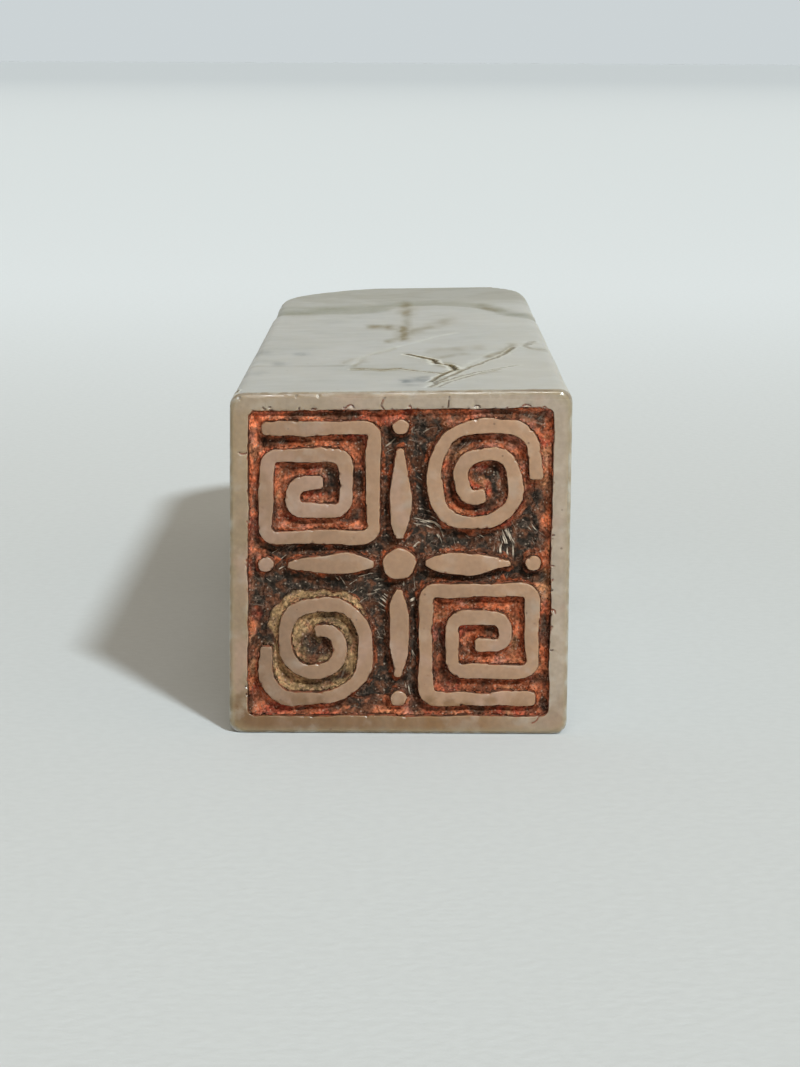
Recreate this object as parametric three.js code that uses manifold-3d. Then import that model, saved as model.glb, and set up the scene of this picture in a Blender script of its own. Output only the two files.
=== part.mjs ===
// A hand-carved stone seal, lying on one long side as it is put down between uses.
// Millimetres, +Z up. The carved face looks along -Y; the origin is on the table under the block's middle.
// The block, its border and its raised lines are one stone. What lies in the cut ground is dried seal
// paste and old ink, thin bodies of their own that rest on the floor of the carving.
import * as THREE from "three";
import { mergeVertices } from "three/addons/utils/BufferGeometryUtils.js";
import Module from "manifold-3d";

const wasm = await Module();
wasm.setup();

// Sizes of the block
const blockWidth = 22;
const blockHeight = 22.45;
const blockLength = 93;
const longEdgeRound = 0.85;
const faceEdgeRound = 0.375;

// The block was ground by eye: its upper side rises to the right, and its uprights lean to the right
const upperSideRise = 0.37;
const uprightLean = 0.13;

// The head of the block is worn round: how far back each side starts to turn in, and by how much.
// The long edges on its left grow rounder towards the head, and those on its right stay crisp.
const headLeft = { reach: 16.2, inset: 8.7 };
const headRight = { reach: 9, inset: 5 };
const headUpDown = { reach: 2.5, inset: 0.8 };
const headLeftEdgeRound = 4.8;
const headRightEdgeRound = 1.6;

// Sizes of the carving
const borderWidth = 1.2;
const groundDepth = 1;
const groundCornerRound = 0.45;
const moatWidth = 0.7;
const crossWidth = 2.6;
const lineWidth = 0.9;
const wallSplay = 0.08;
const fretLines = 5;
const cornerBend = 0.7;
const shoulderBend = 1.8;
const volutePitch = 1.725;
const voluteEyeTurns = 0.5;
const voluteSquareness = 2.5;
const bossRadius = 1.05;
const pearlRadius = 0.5;
const petalGap = 0.75;
const petalTipGap = 1.05;
const petalWidth = 1.4;
const petalTipWidth = 0.45;

// The knife's unsteadiness, on the width of a line, on its course and on the border's inner edge. It comes
// from two waves, each as long as this much of the cut.
const widthWander = 0.06;
const courseWander = 0.07;
const borderWander = 0.09;
const slowWaveLength = 7;
const quickWaveLength = 2.7;

// Sizes of the paste and ink left in the ground
const pasteThickness = 0.3;
const inkThickness = 0.15;
const pasteClearance = 0.08;

// How finely curves are cut into facets
const facetLength = 0.95;
const bendFacets = 5;
const roundFacets = 5;
const headFacets = 14;
const petalFacets = 14;
const endFacets = 5;
const voluteFacetAngle = THREE.MathUtils.degToRad(13);

const faceY = -blockLength / 2;
const headY = blockLength / 2;
const groundY = faceY + groundDepth;
const faceCentreZ = blockHeight / 2;

// The field that the raised lines fill, measured to the middle of its outermost lines
const fieldHalfWidth = blockWidth / 2 - borderWidth - moatWidth - lineWidth / 2;
const fieldHalfHeight = blockHeight / 2 - borderWidth - moatWidth - lineWidth / 2;
const crossHalfWidth = (crossWidth + lineWidth) / 2;

// A point in the plane of the face: x to the right, y upwards from the middle of the face.
const point = (x, y) => new THREE.Vector2(x, y);

// A rounded rectangle, counter-clockwise, with as many points whatever its size. Its corners can be
// rounder on the left than on the right.
function roundedRectangle(left, right, low, high, leftRound, rightRound = leftRound) {
  const corners = [
    [right - rightRound, low + rightRound, rightRound, -90],
    [right - rightRound, high - rightRound, rightRound, 0],
    [left + leftRound, high - leftRound, leftRound, 90],
    [left + leftRound, low + leftRound, leftRound, 180],
  ];
  const outline = [];
  for (const [x, y, round, start] of corners) {
    for (let i = 0; i <= roundFacets; i++) {
      const angle = THREE.MathUtils.degToRad(start + (90 * i) / roundFacets);
      outline.push(point(x + round * Math.cos(angle), y + round * Math.sin(angle)));
    }
  }
  return outline;
}

// Where a point of the true square section lies on the block, which is a little out of square.
function outOfSquare(p) {
  const height = 0.5 + p.y / blockHeight;
  const across = p.x / blockWidth;
  return point(p.x + uprightLean * (height - 0.5), p.y + upperSideRise * across * height);
}

// How an outline is closed at an end of a loft, as threes of its points. A round or square outline is
// closed about a middle point, which comes after its own points, and a long line from side to side.
function aboutTheMiddle(count) {
  return Array.from({ length: count }, (_, i) => [i, (i + 1) % count, count]);
}

function fromSideToSide(count) {
  const faces = [];
  for (let i = 0; i < count / 2 - 1; i++) {
    const opposite = count - 1 - i;
    faces.push([i, i + 1, opposite - 1], [i, opposite - 1, opposite]);
  }
  return faces;
}

// A closed solid through rings of equal point count, each { y, outline }, from the front to the back.
function loft(rings, closedBy = aboutTheMiddle) {
  const count = rings[0].outline.length;
  const positions = [];
  for (const { y, outline } of rings) {
    const middle = outline.reduce((sum, p) => sum.add(p), point(0, 0)).divideScalar(count);
    for (const p of [...outline, middle].map(outOfSquare)) {
      positions.push(p.x, y, faceCentreZ + p.y);
    }
  }
  const faces = [];
  for (let ring = 0; ring + 1 < rings.length; ring++) {
    const front = ring * (count + 1);
    const back = front + count + 1;
    for (let i = 0; i < count; i++) {
      const j = (i + 1) % count;
      faces.push(front + i, back + i, back + j, front + i, back + j, front + j);
    }
  }
  const last = (rings.length - 1) * (count + 1);
  for (const [a, b, c] of closedBy(count)) {
    faces.push(a, b, c, last + a, last + c, last + b);
  }
  const geometry = new THREE.BufferGeometry();
  geometry.setAttribute("position", new THREE.Float32BufferAttribute(positions, 3));
  geometry.setIndex(faces);
  return geometry;
}

// A geometry as a solid that can be joined and cut.
function solidOf(geometry) {
  const merged = mergeVertices(geometry, 1e-5);
  const vertProperties = merged.attributes.position.array;
  const triVerts = new Uint32Array(merged.index.array);
  return new wasm.Manifold(new wasm.Mesh({ numProp: 3, vertProperties, triVerts }));
}

// A joined or cut solid back as a geometry.
function geometryOf(solid) {
  const mesh = solid.getMesh();
  const geometry = new THREE.BufferGeometry();
  geometry.setAttribute("position", new THREE.BufferAttribute(mesh.vertProperties, 3));
  geometry.setIndex(new THREE.BufferAttribute(mesh.triVerts, 1));
  const flat = geometry.toNonIndexed();
  flat.computeVertexNormals();
  return flat;
}

// The block
const headTurnIn = (y, { reach, inset }) => {
  const along = Math.max(0, (y - (headY - reach)) / reach);
  return inset * (1 - Math.sqrt(1 - Math.min(1, along) ** 2));
};

function blockRing(y, shrink) {
  const along = Math.max(0, (y - (headY - headLeft.reach)) / headLeft.reach) ** 2;
  return {
    y,
    outline: roundedRectangle(
      -blockWidth / 2 + shrink + headTurnIn(y, headLeft),
      blockWidth / 2 - shrink - headTurnIn(y, headRight),
      -blockHeight / 2 + shrink + headTurnIn(y, headUpDown),
      blockHeight / 2 - shrink - headTurnIn(y, headUpDown),
      THREE.MathUtils.lerp(longEdgeRound, headLeftEdgeRound, along),
      THREE.MathUtils.lerp(longEdgeRound, headRightEdgeRound, along),
    ),
  };
}

function blockGeometry() {
  const rings = [];
  for (let i = 0; i <= roundFacets; i++) {
    const angle = (Math.PI / 2) * (i / roundFacets);
    const shrink = faceEdgeRound * (1 - Math.sin(angle));
    rings.push(blockRing(faceY + faceEdgeRound * (1 - Math.cos(angle)), shrink));
  }
  for (let i = 0; i <= headFacets; i++) {
    const angle = (Math.PI / 2) * (i / headFacets);
    rings.push(blockRing(headY - headLeft.reach * (1 - Math.sin(angle)), 0));
  }
  return loft(rings);
}

// The wander of a hand-held knife after a given length of cut, from -1 to 1.
function wander(length, phase) {
  const slow = Math.sin((2 * Math.PI * length) / slowWaveLength + phase);
  const quick = Math.sin((2 * Math.PI * length) / quickWaveLength + 2 * phase);
  return 0.6 * slow + 0.4 * quick;
}

// The ground's outline where it is cut, grown by some distance.
function groundOutline(grow) {
  const phase = 1.3;
  const halfWidth = blockWidth / 2 - borderWidth + grow;
  const halfHeight = blockHeight / 2 - borderWidth + grow;
  const plain = roundedRectangle(-halfWidth, halfWidth, -halfHeight, halfHeight, groundCornerRound + grow);
  const outline = [];
  let cut = 0;
  plain.forEach((from, i) => {
    const to = plain[(i + 1) % plain.length];
    const length = from.distanceTo(to);
    const pieces = Math.max(1, Math.round(length / (2 * facetLength)));
    const outward = point(to.y - from.y, from.x - to.x).normalize();
    for (let k = 0; k < pieces; k++) {
      const share = k / pieces;
      const middle = Math.sin(Math.PI * share);
      const shift = middle * borderWander * wander(cut + share * length, phase);
      outline.push(from.clone().lerp(to, share).addScaledVector(outward, shift));
    }
    cut += length;
  });
  return outline;
}

// A prism over a ground outline, with walls that splay outwards towards the face.
const groundPrism = (grow, nearY, farY) =>
  loft([nearY, farY].map((y) => ({
    y,
    outline: groundOutline(grow + wallSplay * ((groundY - y) / groundDepth - 1)),
  })));

// The points of a path with its corners bent round, at facet spacing.
function bentPath(corners, bend) {
  const path = [corners[0].clone()];
  const runTo = (target) => {
    const from = path.at(-1);
    const pieces = Math.max(1, Math.round(from.distanceTo(target) / facetLength));
    for (let k = 1; k <= pieces; k++) {
      path.push(from.clone().lerp(target, k / pieces));
    }
  };
  for (let i = 1; i + 1 < corners.length; i++) {
    const corner = corners[i];
    const before = corners[i - 1].clone().sub(corner).setLength(bend).add(corner);
    const after = corners[i + 1].clone().sub(corner).setLength(bend).add(corner);
    const centre = before.clone().add(after).sub(corner);
    runTo(before);
    const start = before.clone().sub(centre).angle();
    const turn = before.clone().sub(centre).cross(after.clone().sub(centre)) > 0 ? 1 : -1;
    for (let k = 1; k <= bendFacets; k++) {
      const angle = start + (turn * Math.PI * k) / (2 * bendFacets);
      path.push(point(centre.x + bend * Math.cos(angle), centre.y + bend * Math.sin(angle)));
    }
  }
  runTo(corners.at(-1));
  return path;
}

// The points of a blunt round end, even in number, from one side of a line to the other. A power under 1
// squares it up.
function bluntEnd(from, to, direction) {
  const power = 0.6;
  const blunt = (value) => Math.sign(value) * Math.abs(value) ** power;
  const middle = from.clone().lerp(to, 0.5);
  const across = from.clone().sub(middle);
  const ahead = direction.clone().setLength(0.6 * across.length());
  const points = [];
  for (let k = 1; k < endFacets; k++) {
    const angle = (Math.PI * k) / endFacets;
    const sideways = across.clone().multiplyScalar(blunt(Math.cos(angle)));
    points.push(middle.clone().add(sideways).addScaledVector(ahead, blunt(Math.sin(angle))));
  }
  return points;
}

// The outline of a raised line along a path, counter-clockwise from the middle of its near end, with blunt
// round ends. Its width is a function of how far along the path it is, from 0 to 1.
function lineOutline(path, widthAt, phase) {
  const tangents = path.map((p, i) => {
    const ahead = path[Math.min(i + 1, path.length - 1)];
    const behind = path[Math.max(i - 1, 0)];
    return ahead.clone().sub(behind).normalize();
  });
  const right = [];
  const left = [];
  let cut = 0;
  path.forEach((p, i) => {
    cut += i ? p.distanceTo(path[i - 1]) : 0;
    const normal = point(-tangents[i].y, tangents[i].x);
    const middle = p.clone().addScaledVector(normal, courseWander * wander(cut, phase + 2));
    const half = widthAt(i / (path.length - 1)) / 2 + widthWander * wander(cut, phase);
    left.push(middle.clone().addScaledVector(normal, half));
    right.push(middle.clone().addScaledVector(normal, -half));
  });
  const farEnd = bluntEnd(right.at(-1), left.at(-1), tangents.at(-1));
  const nearEnd = bluntEnd(left[0], right[0], tangents[0].clone().negate());
  const half = nearEnd.length / 2;
  return [...nearEnd.slice(half), ...right, ...farEnd, ...left.reverse(), ...nearEnd.slice(0, half)];
}

// A raised shape as a solid from the face down into the ground, wider at its foot, grown by some distance.
function raisedSolid({ outlineGrown, closedBy }, grow) {
  const sink = groundDepth / 4;
  const rings = [0, groundDepth + sink].map((depth) => ({
    y: faceY + depth,
    outline: outlineGrown(grow + (wallSplay * depth) / groundDepth),
  }));
  return solidOf(loft(rings, closedBy));
}

// A raised line of some width along a path, grown on both its sides.
const raisedLine = (path, widthAt, phase) => ({
  outlineGrown: (grow) => lineOutline(path, (along) => widthAt(along) + 2 * grow, phase),
  closedBy: fromSideToSide,
});

// The four quarters of the field. Two hold a square fret and two a round volute, each pair half a turn apart.
const quarterHalfWidth = (fieldHalfWidth - crossHalfWidth) / 2;
const quarterHalfHeight = (fieldHalfHeight - crossHalfWidth) / 2;
const quarters = {
  upper_left_fret: { side: -1, up: 1, half_turn: false },
  lower_right_fret: { side: 1, up: -1, half_turn: true },
  upper_right_volute: { side: 1, up: 1, half_turn: false },
  lower_left_volute: { side: -1, up: -1, half_turn: true },
};

// A point of a quarter, from -1 to 1 across it each way, on the face.
function inQuarter({ side, up, half_turn }, x, y) {
  const flip = half_turn ? -1 : 1;
  return point(
    side * (crossHalfWidth + quarterHalfWidth) + flip * x * quarterHalfWidth,
    up * (crossHalfWidth + quarterHalfHeight) + flip * y * quarterHalfHeight,
  );
}

// A square fret winds inwards, one line of its grid further in at each round, and ends in the middle.
function fretPath(quarter) {
  const last = fretLines - 1;
  const corners = [[0, last]];
  for (let round = 0; last - 2 * round >= 1; round++) {
    const far = last - round;
    corners.push([far, far], [far, round], [round, round], [round, far - 1]);
  }
  corners.push([last / 2, last / 2]);
  const onFace = ([x, y]) => inQuarter(quarter, (2 * x) / last - 1, (2 * y) / last - 1);
  return bentPath(corners.map(onFace), cornerBend);
}

// A round of the volute, from -1 to 1 each way, a little squarer than a circle.
function voluteRound(angle, radius) {
  const x = Math.cos(angle);
  const y = Math.sin(angle);
  const power = voluteSquareness;
  const reach = (Math.abs(x) ** power + Math.abs(y) ** power) ** (-1 / power);
  return [x * reach * radius, y * reach * radius];
}

// A volute comes in over a shoulder and winds inwards at a steady pitch, and its line ends some way short
// of the centre, at the eye.
const voluteTurnsToItsCentre = Math.min(quarterHalfWidth, quarterHalfHeight) / volutePitch;
const voluteTurns = voluteTurnsToItsCentre - voluteEyeTurns;

function volutePath(quarter) {
  const shoulder = [[1, 0.1], [1, 1], [0.1, 1]];
  const path = bentPath(shoulder.map(([x, y]) => inQuarter(quarter, x, y)), shoulderBend);
  const steps = Math.round((voluteTurns * 2 * Math.PI) / voluteFacetAngle);
  for (let k = 0; k <= steps; k++) {
    const turns = (voluteTurns * k) / steps;
    const angle = Math.PI * (0.5 + 2 * turns);
    path.push(inQuarter(quarter, ...voluteRound(angle, 1 - turns / voluteTurnsToItsCentre)));
  }
  return path;
}

const windingLines = Object.entries(quarters).map(([name, quarter], i) => {
  const path = name.endsWith("fret") ? fretPath(quarter) : volutePath(quarter);
  return raisedLine(path, () => lineWidth, 1.7 * i);
});

// Where a pearl stands at the middle of each side of the field.
const pearlPlaces = [[1, 0], [0, 1], [-1, 0], [0, -1]].map(([x, y]) =>
  point(x * fieldHalfWidth, y * fieldHalfHeight),
);

// Four petals stand round the boss in the middle of the field, each narrow at its foot and at its tip, and
// each ends short of a pearl.
const petals = pearlPlaces.map((pearl, i) => {
  const foot = pearl.clone().setLength(bossRadius + petalGap);
  const tip = pearl.clone().setLength(pearl.length() - pearlRadius - petalTipGap);
  const path = Array.from({ length: petalFacets + 1 }, (_, k) => foot.clone().lerp(tip, k / petalFacets));
  const swell = (along) => Math.sin(Math.PI * along ** 0.8);
  return raisedLine(path, (along) => petalTipWidth + (petalWidth - petalTipWidth) * swell(along), 0.9 * i);
});

// A disc, cut by eye, so that its radius wanders a little.
function disc(centre, trueRadius) {
  const sides = 4 * bendFacets;
  const outlineGrown = (grow) =>
    Array.from({ length: sides }, (_, k) => {
      const angle = (2 * Math.PI * k) / sides;
      const uneven = courseWander * trueRadius * (Math.sin(2 * angle + 1) + Math.sin(5 * angle)) / 2;
      const radius = trueRadius + grow + uneven;
      return point(centre.x + radius * Math.cos(angle), centre.y + radius * Math.sin(angle));
    });
  return { outlineGrown, closedBy: aboutTheMiddle };
}

// The boss is in the middle, and a pearl stands off the tip of each petal.
const boss = disc(point(0, 0), bossRadius);
const pearls = pearlPlaces.map((place) => disc(place, pearlRadius));
const raisedShapes = [...windingLines, ...petals, boss, ...pearls];

// The carved stone: the block with its ground cut away, and the raised shapes left standing.
function carvedStone() {
  const cleared = solidOf(blockGeometry()).subtract(solidOf(groundPrism(0, faceY - groundDepth, groundY)));
  return raisedShapes.reduce((cut, shape) => cut.add(raisedSolid(shape, 0)), cleared);
}

// A sheet of some thickness on the floor of the ground, clear of every wall.
function sheetOnGround(thickness) {
  const sheet = solidOf(groundPrism(-pasteClearance, groundY - thickness, groundY));
  return raisedShapes.reduce((layer, shape) => layer.subtract(raisedSolid(shape, pasteClearance)), sheet);
}

// A prism through the whole paste layer over an outline on the face.
const pasteCutter = (outline) =>
  solidOf(loft([faceY, groundY + groundDepth].map((y) => ({ y, outline }))));

// The largest connected body of a solid. Crumbs in the corners behind a bend are left out.
const largestBody = (solid) => solid.decompose().reduce((a, b) => (a.volume() > b.volume() ? a : b));

// The inside of a quarter, out to the middle of its outermost line, grown by some distance.
function quarterOutline(name, grow) {
  const quarter = quarters[name];
  const growX = 1 + grow / quarterHalfWidth;
  const growY = 1 + grow / quarterHalfHeight;
  const round = cornerBend / quarterHalfWidth;
  const shape = name.endsWith("fret")
    ? roundedRectangle(-1, 1, -1, 1, round)
    : Array.from({ length: 36 }, (_, k) => point(...voluteRound((Math.PI * k) / 18, 1)));
  return shape.map((p) => inQuarter({ ...quarter, half_turn: false }, p.x * growX, p.y * growY));
}

// The middle of the outermost lines all round, grown by some distance.
function fieldOutline(grow) {
  const halfWidth = fieldHalfWidth + grow;
  const halfHeight = fieldHalfHeight + grow;
  return roundedRectangle(-halfWidth, halfWidth, -halfHeight, halfHeight, cornerBend);
}

// The paste lies in the channel inside the border and within the windings, and the ink lies between them.
function pasteBodies() {
  const paste = sheetOnGround(pasteThickness);
  const seam = pasteClearance / 2;
  const bodies = { paste_border_channel: paste.subtract(pasteCutter(fieldOutline(seam))) };
  let openGround = sheetOnGround(inkThickness).intersect(pasteCutter(fieldOutline(-seam)));
  for (const name of Object.keys(quarters)) {
    bodies[`paste_${name}`] = paste.intersect(pasteCutter(quarterOutline(name, -seam)));
    openGround = openGround.subtract(pasteCutter(quarterOutline(name, seam)));
  }
  bodies.ink_open_ground = openGround;
  return bodies;
}

// Materials, with the colours that the object shows
const stone = new THREE.MeshStandardMaterial({ color: 0xb7b5ab, roughness: 0.38, metalness: 0 });
const redPaste = new THREE.MeshStandardMaterial({ color: 0x96493a, roughness: 0.75, metalness: 0 });
const darkInk = new THREE.MeshStandardMaterial({ color: 0x3d3834, roughness: 0.85, metalness: 0 });
const ochrePaste = new THREE.MeshStandardMaterial({ color: 0x8a6238, roughness: 0.8, metalness: 0 });

const pasteMaterials = {
  paste_border_channel: redPaste,
  ink_open_ground: darkInk,
  paste_upper_left_fret: redPaste,
  paste_lower_right_fret: redPaste,
  paste_upper_right_volute: redPaste,
  paste_lower_left_volute: ochrePaste,
};

// The assembly
function named(name, solid, material) {
  const mesh = new THREE.Mesh(geometryOf(solid), material);
  mesh.name = name;
  return mesh;
}

const seal = new THREE.Group();
seal.name = "stone_seal";
seal.add(named("carved_stone_block", carvedStone(), stone));
for (const [name, solid] of Object.entries(pasteBodies())) {
  seal.add(named(name, largestBody(solid), pasteMaterials[name]));
}

export default seal;
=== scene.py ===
# The looks of a hand-carved stone seal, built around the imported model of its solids. Everything is in
# metres: the printing face looks along -Y, +Y runs along the block to its head, and +Z is up.
import math
import random

import bmesh
import bpy
from bpy.props import FloatProperty, FloatVectorProperty, IntProperty, PointerProperty
from bpy.types import Operator, Panel, PropertyGroup
from mathutils import Matrix, Vector, noise
from mathutils.bvhtree import BVHTree
from mathutils.kdtree import KDTree


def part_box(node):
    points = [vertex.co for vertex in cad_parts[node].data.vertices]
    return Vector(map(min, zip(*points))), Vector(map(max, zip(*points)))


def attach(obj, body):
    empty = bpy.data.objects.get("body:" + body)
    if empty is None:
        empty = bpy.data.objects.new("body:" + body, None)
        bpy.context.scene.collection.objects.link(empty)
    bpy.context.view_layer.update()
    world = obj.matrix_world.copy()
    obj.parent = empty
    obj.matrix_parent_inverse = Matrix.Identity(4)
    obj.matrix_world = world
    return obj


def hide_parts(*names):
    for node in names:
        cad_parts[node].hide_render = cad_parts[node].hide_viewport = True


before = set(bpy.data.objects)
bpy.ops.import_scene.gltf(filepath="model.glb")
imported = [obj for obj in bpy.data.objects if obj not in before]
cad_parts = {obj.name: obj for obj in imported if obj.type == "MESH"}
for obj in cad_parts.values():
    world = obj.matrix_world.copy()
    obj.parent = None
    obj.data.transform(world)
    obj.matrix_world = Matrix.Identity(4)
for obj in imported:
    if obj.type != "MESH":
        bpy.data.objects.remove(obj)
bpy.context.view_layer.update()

bl_info = {
    "name": "Carved Stone Seal",
    "version": (1, 0, 0),
    "blender": (4, 5, 0),
    "location": "View3D > Sidebar > Seal",
    "description": "Dresses the packed solids of a hand-carved stone seal",
    "category": "Object",
}

MM = 0.001
BODY = "root"
STONE = "carved_stone_block"
DEPOSITS = {
    "paste_border_channel": "red_paste",
    "paste_upper_left_fret": "red_paste",
    "paste_lower_right_fret": "red_paste",
    "paste_upper_right_volute": "red_paste",
    "paste_lower_left_volute": "ochre_paste",
    "ink_open_ground": "dark_ink",
}

# Without a seed, the noise that gives vectors starts from the clock
noise.seed_set(22)

# Places that the frame gives
STONE_LOW, STONE_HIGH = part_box(STONE)
CHANNEL_LOW, CHANNEL_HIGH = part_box("paste_border_channel")
FACE_Y = STONE_LOW.y
GROUND_Y = CHANNEL_HIGH.y
HEAD_Y = STONE_HIGH.y
GROUND_DEPTH = GROUND_Y - FACE_Y
HALF_WIDTH = (STONE_HIGH.x - STONE_LOW.x) / 2
HEIGHT = STONE_HIGH.z - STONE_LOW.z
MIDDLE_Z = STONE_LOW.z + HEIGHT / 2

# The finely built front of the block ends here, just behind the carving
FRONT_END_Y = GROUND_Y + 0.6 * MM

# What lies before the first of these belongs to the flat of the face, what lies above the second to the
# sloping upper side, and what lies behind the third may be near the old seam
FLAT_OF_FACE_Y = FACE_Y + 0.03 * MM
UPPER_SIDE_Z = STONE_HIGH.z - 1.2 * MM
SEAM_START_Y = FACE_Y + 45 * MM

# Fissures in the upper side: points (across, behind the face), width and depth in millimetres, darkness
FISSURES = [
    ([(1.3, 0), (2.1, 3.4), (2.6, 6.5), (3.7, 11), (4.7, 15), (5.8, 18.5), (6.8, 22), (7.5, 25), (8.2, 29.6)],
     0.16, 0.10, 0.5),
    ([(1.9, 2.6), (2.9, 6), (4, 9.2), (5, 11.4), (6.4, 13.6), (8, 16)], 0.12, 0.07, 0.5),
    ([(2.3, 1.5), (3.2, 5.2), (4.3, 8.3), (5.3, 10.8), (6.8, 13.4)], 0.11, 0.06, 0.4),
    ([(2.1, 6), (3, 9.1), (4, 9.7), (4.8, 10.2)], 0.12, 0.05, 0.3),
    ([(0.4, 25.3), (1.4, 22.9), (2.2, 20.6), (2.6, 17.6), (3.3, 16.8), (3.6, 15.3), (3.7, 13.2)],
     0.22, 0.18, 1),
    ([(3.7, 13.2), (3, 11.3), (2.4, 8), (2.1, 5.5)], 0.16, 0.11, 0.8),
    ([(-3.5, 14.8), (-2.6, 15), (-1.1, 13.8), (-0.1, 14.4), (1, 12.9), (2.3, 11.4), (3, 10.6)],
     0.14, 0.07, 0.7),
    ([(-3.2, 17.6), (-2.7, 22.7), (-1.9, 26.4), (-0.5, 30.1), (1, 34), (2.5, 38.5), (4.1, 41.3)],
     0.20, 0.03, 0),
    ([(9.1, 30.3), (9.8, 34.3)], 0.24, 0.04, 0.3),
    ([(9.1, 30.3), (9.5, 27.8), (10.4, 27.7)], 0.20, 0.04, 0.3),
    ([(-10.9, 3.2), (-10.5, 2.2)], 0.16, 0.08, 0.9),
]
FISSURE_REACH = 3.0

# Stains in the upper side, and pale painted highlights along its ridges: kind, points (across, behind the
# face), reach along the block in millimetres, strength. Across the block they reach a sixth as far.
STAINS_AND_HIGHLIGHTS = [
    ("umber", [(-2.6, 49), (-1.1, 48.3)], 1.6, 0.55),
    ("umber", [(-1.1, 48.3), (0.1, 47.5)], 1.9, 0.75),
    ("umber", [(0, 47.3), (0.2, 42.7), (0.1, 38.3)], 1.8, 1),
    ("umber", [(0.1, 72), (0.3, 60)], 2.6, 0.6),
    ("umber", [(0.3, 60), (0.3, 47)], 1.8, 0.35),
    ("umber", [(0.5, 42.7), (2.2, 48.8)], 2.0, 0.55),
    ("umber", [(2.2, 48.8), (3.9, 54.3)], 2.4, 0.35),
    ("umber", [(0, 38.4), (-1.1, 36)], 1.3, 0.6),
    ("umber", [(-2.5, 21.9), (-3.2, 17)], 0.6, 0.4),
    ("umber", [(-4.1, 19.2), (-3.4, 22)], 0.6, 0.3),
    ("umber", [(-3.5, 14.8), (-2.6, 14.8), (-1.1, 13.9), (-0.1, 14.3)], 0.7, 0.8),
    ("umber", [(-0.1, 14.3), (1, 12.9), (2.3, 11.4), (3, 10.6)], 0.55, 0.6),
    ("umber", [(-3.5, 14.8), (-3.2, 17.6), (-2.7, 22.7), (-1.9, 26.4), (-0.5, 30.1)], 0.9, 0.32),
    ("umber", [(0.4, 25.3), (1.4, 22.9), (2.2, 20.6), (2.6, 17.8)], 1.1, 0.75),
    ("umber", [(2.6, 17.6), (3.3, 16.8), (3.6, 15.3), (3.7, 13.2)], 1.3, 1),
    ("umber", [(3.7, 13.2), (3, 11.3), (2.4, 8), (2.1, 5.5)], 0.8, 0.65),
    ("umber", [(1.7, 0.5), (2.9, 6), (4.4, 9.1), (6.4, 12.2)], 0.5, 0.5),
    ("umber", [(2.6, 6.5), (3.7, 11), (4.7, 15), (5.8, 18.5), (6.8, 22)], 0.6, 0.4),
    ("umber", [(2.1, 27.4), (5.8, 30.1)], 1.6, 0.3),
    ("umber", [(2.8, 22.7), (4.3, 24.8)], 1.0, 0.4),
    ("umber", [(6, 22.5), (7.6, 26.7), (8.2, 31.5)], 1.2, 0.6),
    ("umber", [(9.1, 31.3), (9.9, 33.6)], 0.9, 0.4),
    ("umber", [(9.3, 28.8), (10.4, 27.1)], 0.9, 0.35),
    ("umber", [(-10.5, 17.6), (-4, 17.2)], 0.5, 0.2),
    ("umber", [(6.8, 68.5), (7.7, 65)], 2.4, 0.5),
    ("slate", [(0.2, 6.4), (1.2, 6.8), (2.1, 6.0)], 1.0, 0.9),
    ("slate", [(0.9, 7.6), (1.9, 8.6)], 0.9, 0.5),
    ("slate", [(0.3, 3.8), (1.1, 3.7)], 0.5, 0.4),
    ("slate", [(1, 1.6), (1.5, 1.2)], 0.4, 0.6),
    ("slate", [(-10.6, 28.3), (-9.8, 28.2)], 1.4, 0.4),
    ("slate", [(-8.9, 19), (-8.2, 19)], 1.1, 0.45),
    ("slate", [(-10.6, 12.9), (-9.5, 12.8)], 1.2, 0.4),
    ("slate", [(-7.5, 26.3), (-7.1, 26.3)], 1.2, 0.4),
    # The pale kind is painted highlight along the lit sides of ridges
    ("pale", [(-3.4, 18.4), (-2.8, 23.4), (-1.9, 27.1), (-0.5, 30.8), (1, 34.9), (2.5, 39.4), (4.2, 42.3)],
     0.7, 0.5),
    ("pale", [(1.2, 0.8), (2.4, 6.5), (3.7, 13), (5.1, 19.8), (6.6, 26.4)], 0.5, 0.6),
    ("pale", [(2.2, 1.8), (3.1, 6.6), (4.6, 9.9), (6.2, 12.6)], 0.3, 0.5),
]
STAIN_AND_HIGHLIGHT_KINDS = {"umber": (0.14, 0.098, 0.020, 1), "slate": (0.07, 0.08, 0.078, 1), "pale": (0.66, 0.65, 0.60, 1)}
MARKS_DRAWN_OUT = 6

# The old seam near the head goes through the whole stone, and shows as a band on each side
SEAM = [(-11.5, 65.9), (-7.8, 65.4), (-5.8, 66.8), (-1.6, 67.5), (-0.7, 71.7), (2.7, 73.4), (5.3, 70.8),
        (7, 68.3), (7.9, 63.9), (8.9, 59.6), (11.5, 55.5)]

# What clouds and marks the bare stone
STONE_TONES = {
    "grey drift": (0.36, 0.355, 0.335, 1),
    "pale fleck": (0.53, 0.51, 0.47, 1),
    "warm patch": (0.41, 0.365, 0.295, 1),
    "pale right side": (0.56, 0.54, 0.495, 1),
    "vein": (0.21, 0.18, 0.12, 1),
    "haze": (0.50, 0.485, 0.45, 1),
    "grain": (0.17, 0.15, 0.11, 1),
    "head": (0.33, 0.305, 0.25, 1),
    "painted highlight on ridges": (0.66, 0.64, 0.59, 1),
    "soaked rim": (0.25, 0.19, 0.09, 1),
}

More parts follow.
